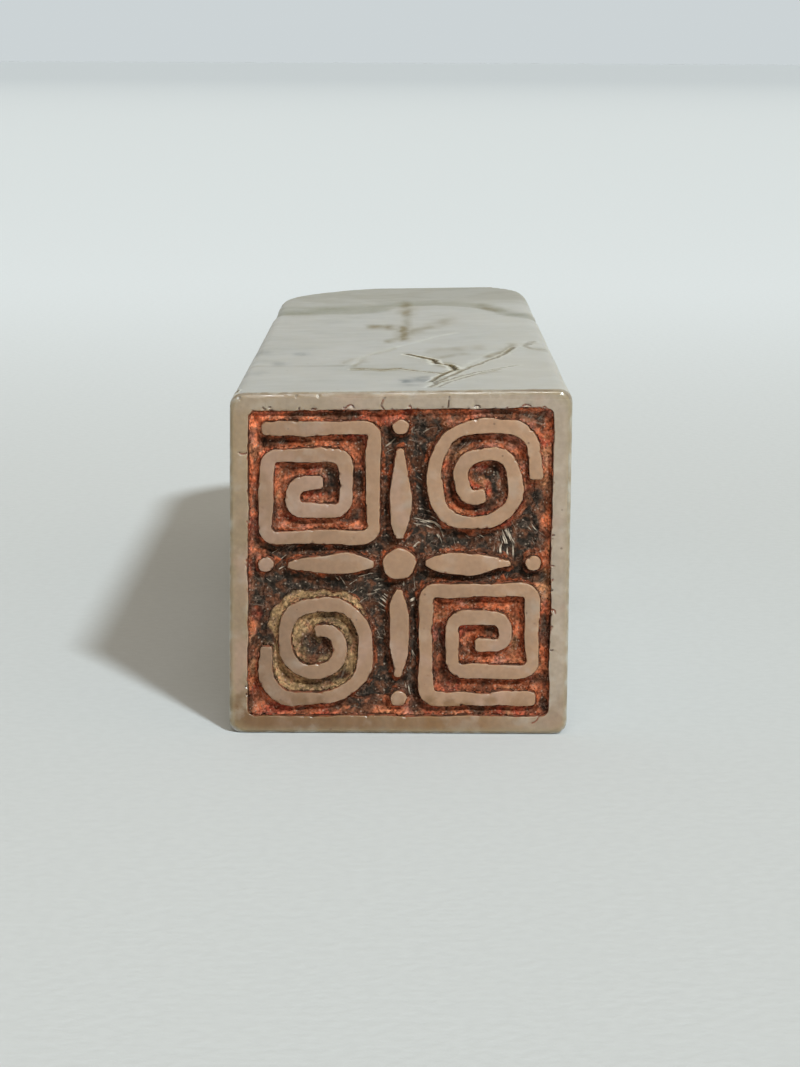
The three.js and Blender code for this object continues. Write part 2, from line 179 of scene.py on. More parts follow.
# What soils the printing face and the walls of the carving, and the painted shade in the dark of the walls
FACE_TONES = {
    "bruise": (0.25, 0.20, 0.155, 1),
    "pink cloud": (0.38, 0.238, 0.178, 1),
    "upper border": (0.325, 0.275, 0.232, 1),
    "foot at the left": (0.160, 0.078, 0.028, 1),
    "foot at the right": (0.222, 0.115, 0.045, 1),
    "rim": (0.25, 0.20, 0.12, 1),
    "corner": (0.27, 0.215, 0.12, 1),
    "pit": (0.13, 0.07, 0.04, 1),
    "dirt along the top edge": (0.215, 0.165, 0.12, 1),
    "dark wall, dirt and painted shade": (0.065, 0.022, 0.009, 1),
    "red wall": (0.25, 0.072, 0.033, 1),
}

# What is mixed into the paste and the ink, with painted glints on its specks
CRUST_TONES = {
    "brown ink": (0.092, 0.037, 0.020, 1),
    "dark ink": (0.028, 0.0205, 0.0155, 1),
    "crimson": (0.25, 0.036, 0.024, 1),
    "pink": (0.37, 0.155, 0.115, 1),
    "brown paste": (0.145, 0.058, 0.025, 1),
    "bright crumb": (0.46, 0.172, 0.092, 1),
    "vein in ink": (0.19, 0.125, 0.095, 1),
    "vein in paste": (0.42, 0.215, 0.14, 1),
    "pit": (0.035, 0.014, 0.008, 1),
    "pale speck and painted glint on ink": (0.31, 0.235, 0.18, 1),
    "pale speck and painted glint on paste": (0.47, 0.27, 0.185, 1),
    "scratch": (0.60, 0.49, 0.38, 1),
}


class SealLooks(PropertyGroup):
    """Sizes and colours of the seal's finish."""
    face_cell: FloatProperty(
        name="Face cell", description="How finely the carved end is built",
        default=0.075 * MM, precision=6, unit="LENGTH")
    face_share: FloatProperty(
        name="Face share", description="Share of the carved end's faces that is kept",
        default=0.25, subtype="FACTOR")
    side_cell: FloatProperty(
        name="Side cell", description="How finely the long sides are built",
        default=0.6 * MM, precision=6, unit="LENGTH")
    rubbing: IntProperty(
        name="Rubbing", description="How often the cut edges are rubbed down", default=2)
    sway: FloatProperty(
        name="Sway", description="How far a cut edge wanders to and fro",
        default=0.06 * MM, precision=6, unit="LENGTH")
    nicks: IntProperty(
        name="Nicks", description="Number of small nicks in the cut edges", default=260)
    chips: IntProperty(
        name="Chips", description="Number of small chips in the block's outer edges", default=16)
    slips: IntProperty(
        name="Slips", description="Number of fine cuts where the knife slipped", default=44)
    deposit_cell: FloatProperty(
        name="Deposit cell", description="How finely the paste and the ink are built",
        default=0.075 * MM, precision=6, unit="LENGTH")
    stone_pale: FloatVectorProperty(
        name="Pale stone", description="The stone where it is clear", subtype="COLOR", size=4,
        default=(0.459, 0.437, 0.404, 1))
    stone_deep: FloatVectorProperty(
        name="Deep stone", description="The stone where it is clouded", subtype="COLOR", size=4,
        default=(0.409, 0.393, 0.359, 1))
    seam: FloatVectorProperty(
        name="Seam", description="The old seam near the head", subtype="COLOR", size=4,
        default=(0.24, 0.225, 0.155, 1))
    stain: FloatVectorProperty(
        name="Stain", description="The raised lines, stained by paste", subtype="COLOR", size=4,
        default=(0.315, 0.184, 0.109, 1))
    # The border's two sides: partly stain, and partly painted shade that darkens the left side against the
    # right
    border_left: FloatVectorProperty(
        name="Border, left", description="The border's left side, stained", subtype="COLOR", size=4,
        default=(0.268, 0.186, 0.114, 1))
    border_right: FloatVectorProperty(
        name="Border, right", description="The border's right side, less stained", subtype="COLOR", size=4,
        default=(0.365, 0.281, 0.213, 1))
    fissure: FloatVectorProperty(
        name="Fissure", description="Dirt in the fissures", subtype="COLOR", size=4,
        default=(0.045, 0.026, 0.004, 1))
    red: FloatVectorProperty(
        name="Red paste", description="Dried cinnabar paste where it is thick", subtype="COLOR", size=4,
        default=(0.40, 0.113, 0.051, 1))
    deep_red: FloatVectorProperty(
        name="Deep red paste", description="Dried cinnabar paste where it is thin", subtype="COLOR", size=4,
        default=(0.27, 0.062, 0.024, 1))
    ochre: FloatVectorProperty(
        name="Ochre paste", description="Aged and faded paste", subtype="COLOR", size=4,
        default=(0.285, 0.178, 0.088, 1))
    dirt: FloatVectorProperty(
        name="Dirt", description="Reddish dirt at the edge of the ink", subtype="COLOR", size=4,
        default=(0.115, 0.040, 0.020, 1))


def smooth(value):
    """0 below 0, 1 above 1 and an even slope between."""
    value = min(1.0, max(0.0, value))
    return value * value * (3 - 2 * value)


def in_scene(name, data):
    """A new object in the scene, made from a mesh, a lamp or a camera."""
    holder = bpy.data.objects.new(name, data)
    bpy.context.scene.collection.objects.link(holder)
    return holder


def merged_copy(node):
    """A node's faces as a bmesh, with its loose corners merged."""
    bm = bmesh.new()
    bm.from_mesh(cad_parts[node].data)
    bmesh.ops.remove_doubles(bm, verts=bm.verts, dist=0.002 * MM)
    return bm


def surface_of(node):
    """A node's surface, for rays and for nearest places."""
    bm = merged_copy(node)
    surface = BVHTree.FromBMesh(bm)
    bm.free()
    return surface


def cut_across(bm, y, keep_front):
    """Cuts the form across at y and keeps one part of it, open at the cut."""
    everything = bm.verts[:] + bm.edges[:] + bm.faces[:]
    bmesh.ops.bisect_plane(
        bm, geom=everything, dist=1e-7, plane_co=(0, y, 0), plane_no=(0, 1, 0),
        clear_outer=keep_front, clear_inner=not keep_front)


def close_cut(bm):
    rim = [e for e in bm.edges if e.is_boundary]
    bmesh.ops.holes_fill(bm, edges=rim, sides=len(rim))


def finished_by(bm, kind, **settings):
    """The form as one modifier leaves it, worked out in millimetres."""
    bmesh.ops.scale(bm, vec=(1 / MM,) * 3, verts=bm.verts)
    mesh = bpy.data.meshes.new("workpiece")
    bm.to_mesh(mesh)
    bm.free()
    holder = in_scene("workpiece", mesh)
    modifier = holder.modifiers.new("Workpiece", kind)
    for name, value in settings.items():
        setattr(modifier, name, value)
    result = bmesh.new()
    result.from_mesh(holder.evaluated_get(bpy.context.evaluated_depsgraph_get()).to_mesh())
    bmesh.ops.scale(result, vec=(MM,) * 3, verts=result.verts)
    bpy.data.objects.remove(holder)
    bpy.data.meshes.remove(mesh)
    return result


def number_by_place(bm):
    """Numbers points, edges and faces by where they lie, so that their order is the same each time."""
    step = 0.001 * MM
    steps = 1e5

    def rank(place):
        """A place as a single number, which is all that a bmesh sorts by."""
        return (round(place.x / step) * steps + round(place.y / step)) * steps + round(place.z / step)

    bm.verts.sort(key=lambda v: rank(v.co))
    bm.edges.sort(key=lambda e: rank((e.verts[0].co + e.verts[1].co) / 2))
    bm.faces.sort(key=lambda f: rank(f.calc_center_median()))
    for parts in (bm.verts, bm.edges, bm.faces):
        parts.index_update()


def in_even_cells(bm, cell):
    cells = finished_by(bm, "REMESH", mode="VOXEL", voxel_size=cell / MM)
    number_by_place(cells)
    return cells


def rub_down(bm, times):
    """Rubs the cut edges down, and then the face on a flat stone."""
    for _ in range(times):
        bmesh.ops.smooth_vert(bm, verts=bm.verts, factor=0.5, use_axis_x=True, use_axis_y=True, use_axis_z=True)
    for v in bm.verts:
        if v.co.y < FLAT_OF_FACE_Y:
            v.co.y = FACE_Y


def from_sides(point):
    """How far a point lies inside the block's four long sides."""
    return min(HALF_WIDTH - abs(point.x), point.z - STONE_LOW.z, STONE_HIGH.z - point.z)


def sway_edges(bm, sway):
    """Lets the carved outlines wander, and holds the block's outer sides still."""
    wave = 1.3 * MM
    for v in bm.verts:
        held = smooth((from_sides(v.co) - 0.6 * MM) / (0.5 * MM))
        drift = noise.noise_vector(v.co / wave) + 0.5 * noise.noise_vector(v.co / (0.4 * wave))
        drift += 0.45 * noise.noise_vector(v.co / (0.2 * wave))
        v.co.x += sway * held * drift.x
        v.co.z += sway * held * drift.z


def roughen_ground(bm):
    """Leaves the cut floor and walls in small facets, as a knife does."""
    for v in bm.verts:
        depth = (v.co.y - FACE_Y) / GROUND_DEPTH
        if depth < 0.1 or depth > 1.1 or from_sides(v.co) < 0.8 * MM:
            continue
        cell = v.co / (0.55 * MM)
        facets = noise.voronoi(Vector((cell.x + 0.7 * cell.z, cell.y, cell.z)))[0][0]
        v.co.y += 0.09 * MM * (facets - 0.35) * smooth((depth - 0.1) * 3)
        on_wall = smooth((0.9 - depth) / 0.2)
        v.co += 0.018 * MM * on_wall * noise.noise_vector(v.co / (0.22 * MM))


def dent(bm, tree, centre, radius, push):
    """Presses the surface in around a point."""
    for _, index, distance in tree.find_range(centre, radius):
        bm.verts[index].co += push * (1 - (distance / radius) ** 2) ** 2


def place_tree(bm):
    bm.verts.ensure_lookup_table()
    tree = KDTree(len(bm.verts))
    for i, v in enumerate(bm.verts):
        tree.insert(v.co, i)
    tree.balance()
    return tree


def bevel_top_edge(bm):
    """Grinds a narrow flat along the edge where the face meets the upper side."""
    block = surface_of(STONE)
    ends = []
    for x in (-HALF_WIDTH / 2, HALF_WIDTH / 2):
        top = block.ray_cast(Vector((x, FACE_Y + 3 * MM, STONE_HIGH.z + 1 * MM)), Vector((0, 0, -1)))[0]
        ends.append(top)
    slope = (ends[1].z - ends[0].z) / (ends[1].x - ends[0].x)
    tilt = math.radians(31)
    outward = Vector((0, -math.cos(tilt), math.sin(tilt)))
    edge_round = 0.375 * MM
    for v in bm.verts:
        if v.co.y < FACE_Y + 1 * MM and v.co.z > STONE_HIGH.z - 1.5 * MM:
            top = ends[0].z + slope * (v.co.x - ends[0].x)
            middle = Vector((v.co.x, FACE_Y + edge_round, top - edge_round))
            over = (v.co - middle).dot(outward) - edge_round + 0.014 * MM
            if over > 0:
                v.co -= outward * over


def nick_cut_edges(bm, count):
    """Nicks the edges of the border and of the raised lines, and pits their tops."""
    rng = random.Random(11)
    top = FACE_Y + 0.05 * MM
    tops = [v for v in bm.verts if v.co.y < top and from_sides(v.co) > 0.5 * MM]
    rims = [v for v in tops if any(e.other_vert(v).co.y > top for e in v.link_edges)]
    tree = place_tree(bm)
    places = [v.co.copy() for v in rng.sample(rims, count)]
    for place in places:
        radius = rng.uniform(0.09, 0.21) * MM
        dent(bm, tree, place, radius, Vector((0, rng.uniform(0.15, 0.7) * radius, 0)))
    pits = [v.co.copy() for v in rng.sample(tops, count // 5)]
    for place in pits:
        radius = rng.uniform(0.09, 0.15) * MM
        dent(bm, tree, place, radius, Vector((0, rng.uniform(0.1, 0.4) * radius, 0)))


def knife_slips(count):
    """Fine curved cuts that run out of the ground into the border, as straight runs of (x, z)."""
    rng = random.Random(31)
    middle = Vector((0, MIDDLE_Z))
    inner = HALF_WIDTH - 1.2 * MM
    up, right = Vector((0, 1)), Vector((1, 0))
    slips = []
    for i in range(count):
        outward = rng.choice((up, up, up, right, right, -right, -up))
        along = Vector((-outward.y, outward.x)) * rng.uniform(-0.95, 0.95) * inner
        place = along + outward * (inner + 0.15 * MM * abs(outward.y) - 0.1 * MM)
        course = (outward + Vector((rng.uniform(-1.2, 1.2), rng.uniform(-1.2, 1.2)))).normalized()
        runs, length = (2, rng.uniform(0.05, 0.12)) if i % 4 else (5, rng.uniform(0.09, 0.2))
        bend = rng.uniform(-0.8, 0.8)
        for _ in range(runs):
            end = place + course * length * MM
            slips.append((middle + place, middle + end))
            place = end
            course.rotate(Matrix.Rotation(bend + rng.uniform(-0.4, 0.4), 2))
    return slips


def distance_to_runs(x, z, runs, furthest):
    """The least distance from a point to straight runs, or the furthest distance that matters."""
    point = Vector((x, z))
    best = furthest
    for start, end in runs:
        if min(start.x, end.x) - best < x < max(start.x, end.x) + best:
            run = end - start
            share = min(1.0, max(0.0, (point - start).dot(run) / run.length_squared))
            best = min(best, (point - start - run * share).length)
    return best


def let_knife_slip(bm, count):
    slips = knife_slips(count)
    width = 0.08 * MM
    for v in bm.verts:
        if v.co.y < FLAT_OF_FACE_Y:
            distance = distance_to_runs(v.co.x, v.co.z, slips, width)
            v.co.y += 0.16 * MM * (1 - distance / width)


def chip_outer_edges(bm, count):
    """Chips the long edges and the edges of the printing face here and there."""
    rng = random.Random(5)
    tree = place_tree(bm)
    middle = Vector((0, 0, MIDDLE_Z))
    corners = [Vector((x, 0, z)) for x in (-HALF_WIDTH, HALF_WIDTH) for z in (STONE_LOW.z, STONE_HIGH.z)]
    places = [
        (Vector((HALF_WIDTH, FACE_Y, STONE_LOW.z + 0.745 * HEIGHT)), 0.55 * MM, 0.22),
        (Vector((-HALF_WIDTH, FACE_Y + 1.4 * MM, STONE_HIGH.z)), 0.60 * MM, 0.30),
    ]
    for _ in range(count):
        start, end = rng.sample(corners, 2)
        if rng.random() < 0.5:
            place = start.lerp(end, rng.random())
            place.y = FACE_Y
        else:
            place = start.copy()
            place.y = rng.uniform(FACE_Y, HEAD_Y - 18 * MM)
        places.append((place, rng.uniform(0.15, 0.35) * MM, rng.uniform(0.06, 0.22)))
    for place, radius, share in places:
        on_stone, _, _ = tree.find(place)
        inwards = middle - Vector((on_stone.x, 0, on_stone.z))
        if on_stone.y < FACE_Y + radius:
            inwards.y = inwards.length
        dent(bm, tree, on_stone, radius, inwards.normalized() * radius * share)


def distance_to_path(x, y, path):
    """The least distance from a point to a path of straight runs, in millimetres."""
    best = 1e9
    for (ax, ay), (bx, by) in zip(path, path[1:]):
        run_x, run_y = bx - ax, by - ay
        share = ((x - ax) * run_x + (y - ay) * run_y) / (run_x ** 2 + run_y ** 2)
        share = min(1.0, max(0.0, share))
        best = min(best, math.hypot(x - ax - share * run_x, y - ay - share * run_y))
    return best


def runs_beside(path, y, reach):
    """Whether y lies within reach of the stretch of the block that a path takes up."""
    return min(p[1] for p in path) - reach < y < max(p[1] for p in path) + reach


def wandering(co):
    """A place on the stone in millimetres across and behind the face, shaken a little as cracks are."""
    shake = noise.noise_vector(co / (2.4 * MM)) * 0.22 + noise.noise_vector(co / (0.5 * MM)) * 0.07
    return co.x / MM + shake.x, (co.y - FACE_Y) / MM + shake.y


def nearest_fissure(co):
    """The fissure nearest to a place in the upper side: distance over width, depth and darkness."""
    best = (FISSURE_REACH, 0.0, 0.0)
    if co.z > UPPER_SIDE_Z:
        x, y = wandering(co)
        for path, width, depth, dark in FISSURES:
            if runs_beside(path, y, FISSURE_REACH * width):
                distance = distance_to_path(x, y, path) / width
                if distance < best[0]:
                    best = (distance, depth, dark)
    return best


def stains_and_highlights_at(co):
    """How strongly each kind of stain and of painted highlight shows at a place in the upper side, and how near
    any of them is.
    """
    shown = dict.fromkeys(STAIN_AND_HIGHLIGHT_KINDS, 0.0)
    nearest = FISSURE_REACH
    if co.z > UPPER_SIDE_Z:
        x, y = wandering(co)
        ragged = 0.85 + 0.8 * noise.noise(Vector((x / 0.9, y / 4, 0)))
        for kind, path, width, strength in STAINS_AND_HIGHLIGHTS:
            if runs_beside(path, y, FISSURE_REACH * width):
                drawn_out = [(MARKS_DRAWN_OUT * px, py) for px, py in path]
                distance = distance_to_path(MARKS_DRAWN_OUT * x, y, drawn_out) / width
                shown[kind] = max(shown[kind], strength * ragged * (1 - smooth(distance / 2.2)))
                nearest = min(nearest, distance)
    return {kind: min(1.0, strength) for kind, strength in shown.items()}, nearest


def seam_at(co):
    """How strongly the old seam shows at a place, from 0 to 1. Its nearer edge is the crisper one."""
    x, y = wandering(co)
    lean = 0.35 * (STONE_HIGH.z - co.z) / MM
    drawn_out = 3
    path = [(drawn_out * px, py) for px, py in SEAM]
    middle = smooth((x + 2.5) / 2) * smooth((9 - x) / 2)
    width = 4.7 - 2.2 * middle - 2.2 * smooth((x - 7) / 2) + 0.8 * noise.noise(co / (5 * MM))
    distance = distance_to_path(drawn_out * x, y + lean, path) / width
    return (1 - smooth((distance - 0.5) / 0.9)) * (0.85 - 0.25 * middle + 0.4 * noise.noise(co / (3 * MM)))


def open_fissures(bm):
    for v in bm.verts:
        distance, depth, _ = nearest_fissure(v.co)
        v.co.z -= depth * MM * (1 - smooth(distance - 0.1)) - 0.035 * MM * smooth(1.6 - distance)
        if v.co.y > SEAM_START_Y:
            v.co += (Vector((0, v.co.y, MIDDLE_Z)) - v.co).normalized() * 0.12 * MM * seam_at(v.co)


def grind_sides(bm):
    """Leaves the long sides very slightly uneven, always inside the true block."""
    for v in bm.verts:
        inwards = Vector((-v.co.x, 0, MIDDLE_Z - v.co.z)).normalized()
        hollow = 0.5 + 0.5 * noise.noise(v.co / (9 * MM))
        started = smooth((v.co.y - FRONT_END_Y) / (6 * MM))
        v.co += inwards * 0.06 * MM * hollow * started


def refine(bm, cell, wanted):
    """Divides the coarser cells where cells of this size are wanted."""
    edges = {}  # a dict keeps their order, and a set doesn't
    for f in bm.faces:
        if max(e.calc_length() for e in f.edges) > 1.5 * cell and wanted(f.calc_center_median()):
            edges.update(dict.fromkeys(f.edges))
    bmesh.ops.subdivide_edges(bm, edges=list(edges), cuts=1, use_grid_fill=True)


def near_long_edge(co):
    return abs(co.x) > HALF_WIDTH - 1 * MM and min(co.z - STONE_LOW.z, STONE_HIGH.z - co.z) < 1 * MM


def lay_on_true_block(bm):
    """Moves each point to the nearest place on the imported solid."""
    block = surface_of(STONE)
    for v in bm.verts:
        v.co = block.find_nearest(v.co)[0]


def carved_front(looks):
    block = merged_copy(STONE)
    cut_across(block, FRONT_END_Y + 1 * MM, keep_front=True)
    close_cut(block)
    front = in_even_cells(block, looks.face_cell)
    cut_across(front, FRONT_END_Y, keep_front=True)
    rub_down(front, looks.rubbing)
    bevel_top_edge(front)
    sway_edges(front, looks.sway)
    roughen_ground(front)
    nick_cut_edges(front, looks.nicks)
    let_knife_slip(front, looks.slips)
    return finished_by(front, "DECIMATE", ratio=looks.face_share)


def ground_sides(looks):
    block = merged_copy(STONE)
    cut_across(block, FRONT_END_Y - 2 * MM, keep_front=False)
    close_cut(block)
    sides = in_even_cells(block, looks.side_cell)
    cut_across(sides, FRONT_END_Y + 0.3 * MM, keep_front=False)
    refine(sides, looks.side_cell / 2, near_long_edge)
    refine(sides, looks.side_cell / 2, lambda co: stains_and_highlights_at(co)[1] < 1.8 or nearest_fissure(co)[0] < 2.6)
    refine(sides, looks.side_cell / 4, lambda co: stains_and_highlights_at(co)[1] < 0.9 or nearest_fissure(co)[0] < 1.6)
    refine(sides, looks.side_cell / 8, lambda co: nearest_fissure(co)[0] < 1.0)
    held = {v: v.co.y for v in sides.verts if v.is_boundary}
    lay_on_true_block(sides)
    for v, y in held.items():
        v.co.y = y
    grind_sides(sides)
    open_fissures(sides)
    return sides


def join_at_cut(front, sides):
    """Adds the sides to the front and bridges the two open rims."""
    mesh = bpy.data.meshes.new("sides")
    sides.to_mesh(mesh)
    sides.free()
    front.from_mesh(mesh)
    bpy.data.meshes.remove(mesh)
    rims = [e for e in front.edges if e.is_boundary]
    bmesh.ops.bridge_loops(front, edges=rims)
    bmesh.ops.recalc_face_normals(front, faces=front.faces)


def hold_inside(bm):
    """Brings back what the even cells put outside the true block, by a hair."""
    for v in bm.verts:
        for axis in range(3):
            v.co[axis] = min(STONE_HIGH[axis], max(STONE_LOW[axis], v.co[axis]))


def add_measures(mesh, measures):
    """Keeps a measure of each point, for the material to read."""
    for name, values in measures.items():
        attribute = mesh.attributes.new(name, "FLOAT", "POINT")
        attribute.data.foreach_set("value", values)


def weigh_normals(mesh):
    """Lets broad flat faces stay flat up to their edges."""
    normals = [Vector() for _ in mesh.vertices]
    for face in mesh.polygons:
        weighed = face.normal * face.area
        for i in face.vertices:
            normals[i] += weighed
    mesh.normals_split_custom_set_from_vertices([n.normalized() for n in normals])


def finish_piece(name, bm, material, node, measures):
    """Makes the form an object that rides on the part and stands for a node of it."""
    mesh = bpy.data.meshes.new(name)
    bm.to_mesh(mesh)
    add_measures(mesh, measures)
    mesh.shade_smooth()
    weigh_normals(mesh)
    mesh.materials.append(material)
    piece = in_scene(name, mesh)
    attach(piece, BODY)
    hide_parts(node)


class NodeBench:
    """The nodes of a material or of the world, with short ways to add and feed them."""

    def __init__(self, owner):
        owner.use_nodes = True
        self.tree = owner.node_tree

    def add(self, kind, inputs=None, **settings):
        node = self.tree.nodes.new(kind)
        for name, value in settings.items():
            setattr(node, name, value)
        for name, value in (inputs or {}).items():
            self.feed(node.inputs[name], value)
        return node

    def feed(self, socket, value):
        if isinstance(value, bpy.types.NodeSocket):
            self.tree.links.new(value, socket)
        else:
            socket.default_value = value

    def maths(self, operation, *values):
        node = self.add("ShaderNodeMath", operation=operation)
        for socket, value in zip(node.inputs, values):
            self.feed(socket, value)
        return node.outputs[0]

    def product(self, first, *others):
        for value in others:
            first = self.maths("MULTIPLY", first, value)
        return first

    def spread(self, value, low, high, start=0.0, end=1.0):
        """The value's share of the way from low to high, held between start and end."""
        inputs = {"Value": value, "From Min": low, "From Max": high, "To Min": start, "To Max": end}
        return self.add("ShaderNodeMapRange", inputs, interpolation_type="SMOOTHSTEP").outputs[0]

    def between(self, share, first, second):
        """A number that is this share of the way from the first to the second."""
        return self.add("ShaderNodeMix", {0: share, 2: first, 3: second}).outputs[0]

    def split(self, vector):
        return self.add("ShaderNodeSeparateXYZ", {"Vector": vector}).outputs


class Recipe(NodeBench):
    """A material's nodes, with the patterns and blends that stone and paste are made from."""

    def __init__(self, name, roughness):
        self.material = bpy.data.materials.new(name)
        super().__init__(self.material)
        self.shader = self.tree.nodes["Principled BSDF"]
        self.shader.inputs["Roughness"].default_value = roughness
        self.place = self.add("ShaderNodeTexCoord").outputs["Object"]
        self.x, self.y, self.z = self.split(self.place)

    def mottle(self, size, detail=3.0, distortion=0.0, place=None):
        """Noise whose lumps are about this many metres wide."""
        inputs = {
            "Vector": place or self.place, "Scale": 1 / size, "Detail": detail, "Distortion": distortion,
        }
        return self.add("ShaderNodeTexNoise", inputs).outputs["Fac"]

    def stretched(self, factors, shift=(0, 0, 0)):
        inputs = {"Vector": self.place, "Scale": factors, "Location": shift}
        return self.add("ShaderNodeMapping", inputs).outputs[0]

    def patches(self, size, low, high, most, shift):
        """Patches about this wide, each share from 0 to most, in a place of their own."""
        place = self.stretched((1, 1, 1), (shift, 0, shift))
        return self.spread(self.mottle(size, detail=4, distortion=0.6, place=place), low, high, 0, most)

    def contours(self, values):
        """How far a noise is from its middle value: next to nothing along thin wandering lines."""
        return self.maths("ABSOLUTE", self.maths("SUBTRACT", values, 0.5))

    def grains(self, size):
        """Grains about this wide: the distance from a grain's middle, and three random picks for each."""
        cells = self.add("ShaderNodeTexVoronoi", {"Vector": self.place, "Scale": 1 / size})
        return cells.outputs["Distance"], *self.split(cells.outputs["Color"])

    def place_in_face(self):
        """Where a place lies in the printing face: across and up from -1 to 1, and the greater of them."""
        across = self.maths("MULTIPLY", self.x, 1 / HALF_WIDTH)
        up = self.maths("MULTIPLY_ADD", self.z, 2 / HEIGHT, -1.0)
        outward = self.maths("MAXIMUM", self.maths("ABSOLUTE", across), self.maths("ABSOLUTE", up))
        return across, up, outward

    def measure(self, name):
        return self.add("ShaderNodeAttribute", attribute_name=name).outputs["Fac"]

    def blend(self, share, first, second, how="MIX"):
        node = self.add("ShaderNodeMix", data_type="RGBA", blend_type=how)
        self.feed(node.inputs[0], share)
        self.feed(node.inputs[6], first)
        self.feed(node.inputs[7], second)
        return node.outputs[2]

    def shade(self, colour, light):
        """The colour, lighter or darker by a factor."""
        grey = self.add("ShaderNodeCombineXYZ", {"X": light, "Y": light, "Z": light}).outputs[0]
        return self.blend(1.0, colour, grey, how="MULTIPLY")

    def bump(self, height, distance, under=None):
        inputs = {"Height": height, "Distance": distance, "Strength": 1.0}
        if under is not None:
            inputs["Normal"] = under
        return self.add("ShaderNodeBump", inputs).outputs[0]


def clouded_stone(stone, looks):
    """The colour of the bare stone, with its clouds, its old seam, its stains and the dirt in its fissures, and
    pale painted highlights beside the fissures and along its ridges.
    """
    clouds = stone.mottle(9 * MM, detail=5, distortion=0.8)
    drawn_out = stone.mottle(3 * MM, detail=4, distortion=0.3, place=stone.stretched((0.8, 0.35, 0.8)))
    flecks = stone.mottle(1.1 * MM, detail=4)
    specks = stone.mottle(0.4 * MM, detail=3)
    warm_patches = stone.mottle(26 * MM, detail=2, distortion=0.4)
    colour = stone.blend(stone.spread(clouds, 0.38, 0.64), tuple(looks.stone_pale), tuple(looks.stone_deep))
    colour = stone.blend(stone.spread(drawn_out, 0.5, 0.72, 0, 0.3), colour, STONE_TONES["grey drift"])
    colour = stone.blend(stone.spread(flecks, 0.55, 0.75, 0, 0.3), colour, STONE_TONES["pale fleck"])
    colour = stone.blend(stone.spread(warm_patches, 0.5, 0.72, 0, 0.35), colour, STONE_TONES["warm patch"])
    colour = stone.blend(stone.spread(stone.x, 2 * MM, 9 * MM, 0, 0.45), colour, STONE_TONES["pale right side"])
    below_top = stone.spread(stone.z, STONE_HIGH.z - 1.6 * MM, STONE_HIGH.z - 0.7 * MM, 1, 0)
    bands = stone.mottle(24 * MM, detail=5, distortion=0.7, place=stone.stretched((1, 0.5, 1)))
    veins = stone.product(
        stone.spread(stone.contours(bands), 0.001, 0.009, 0.75, 0), stone.spread(clouds, 0.36, 0.56), below_top)
    colour = stone.blend(veins, colour, STONE_TONES["vein"])
    haze = stone.product(stone.spread(warm_patches, 0.35, 0.5, 0.5, 0), below_top)
    colour = stone.blend(haze, colour, STONE_TONES["haze"])
    distance, pick, _, _ = stone.grains(1.3 * MM)
    grain = stone.product(stone.spread(distance, 0.04, 0.12, 0.6, 0), stone.spread(pick, 0.86, 0.9))
    colour = stone.blend(grain, colour, STONE_TONES["grain"])
    near_head = stone.spread(stone.y, FACE_Y + 66 * MM, FACE_Y + 80 * MM)
    colour = stone.blend(near_head, colour, STONE_TONES["head"])
    ragged = stone.spread(specks, 0.25, 0.6, 0.7, 1)
    colour = stone.blend(stone.product(stone.measure("seam"), ragged), colour, tuple(looks.seam))
    # Stains, and the pale painted highlights along the ridges
    for kind, tone in STAIN_AND_HIGHLIGHT_KINDS.items():
        colour = stone.blend(stone.product(stone.measure(kind), ragged), colour, tone)

    reach = stone.maths("ADD", stone.measure("fissure"), stone.spread(specks, 0.3, 0.7, -0.35, 0.35))
    dark = stone.measure("dark")
    # Painted highlight: a pale band beside each dark fissure, as if its raised edge caught the light
    ridge = stone.product(stone.spread(reach, 1.0, 1.7), stone.spread(reach, 1.9, 2.9, 1, 0), dark)
    colour = stone.blend(ridge, colour, STONE_TONES["painted highlight on ridges"])
    halo = stone.product(stone.spread(reach, 0.6, 1.6, 0.5, 0), dark)
    colour = stone.blend(halo, colour, STONE_TONES["soaked rim"])
    line = stone.product(stone.spread(reach, 0.35, 1.1, 0.9, 0), dark)
    return stone.blend(line, colour, tuple(looks.fissure))


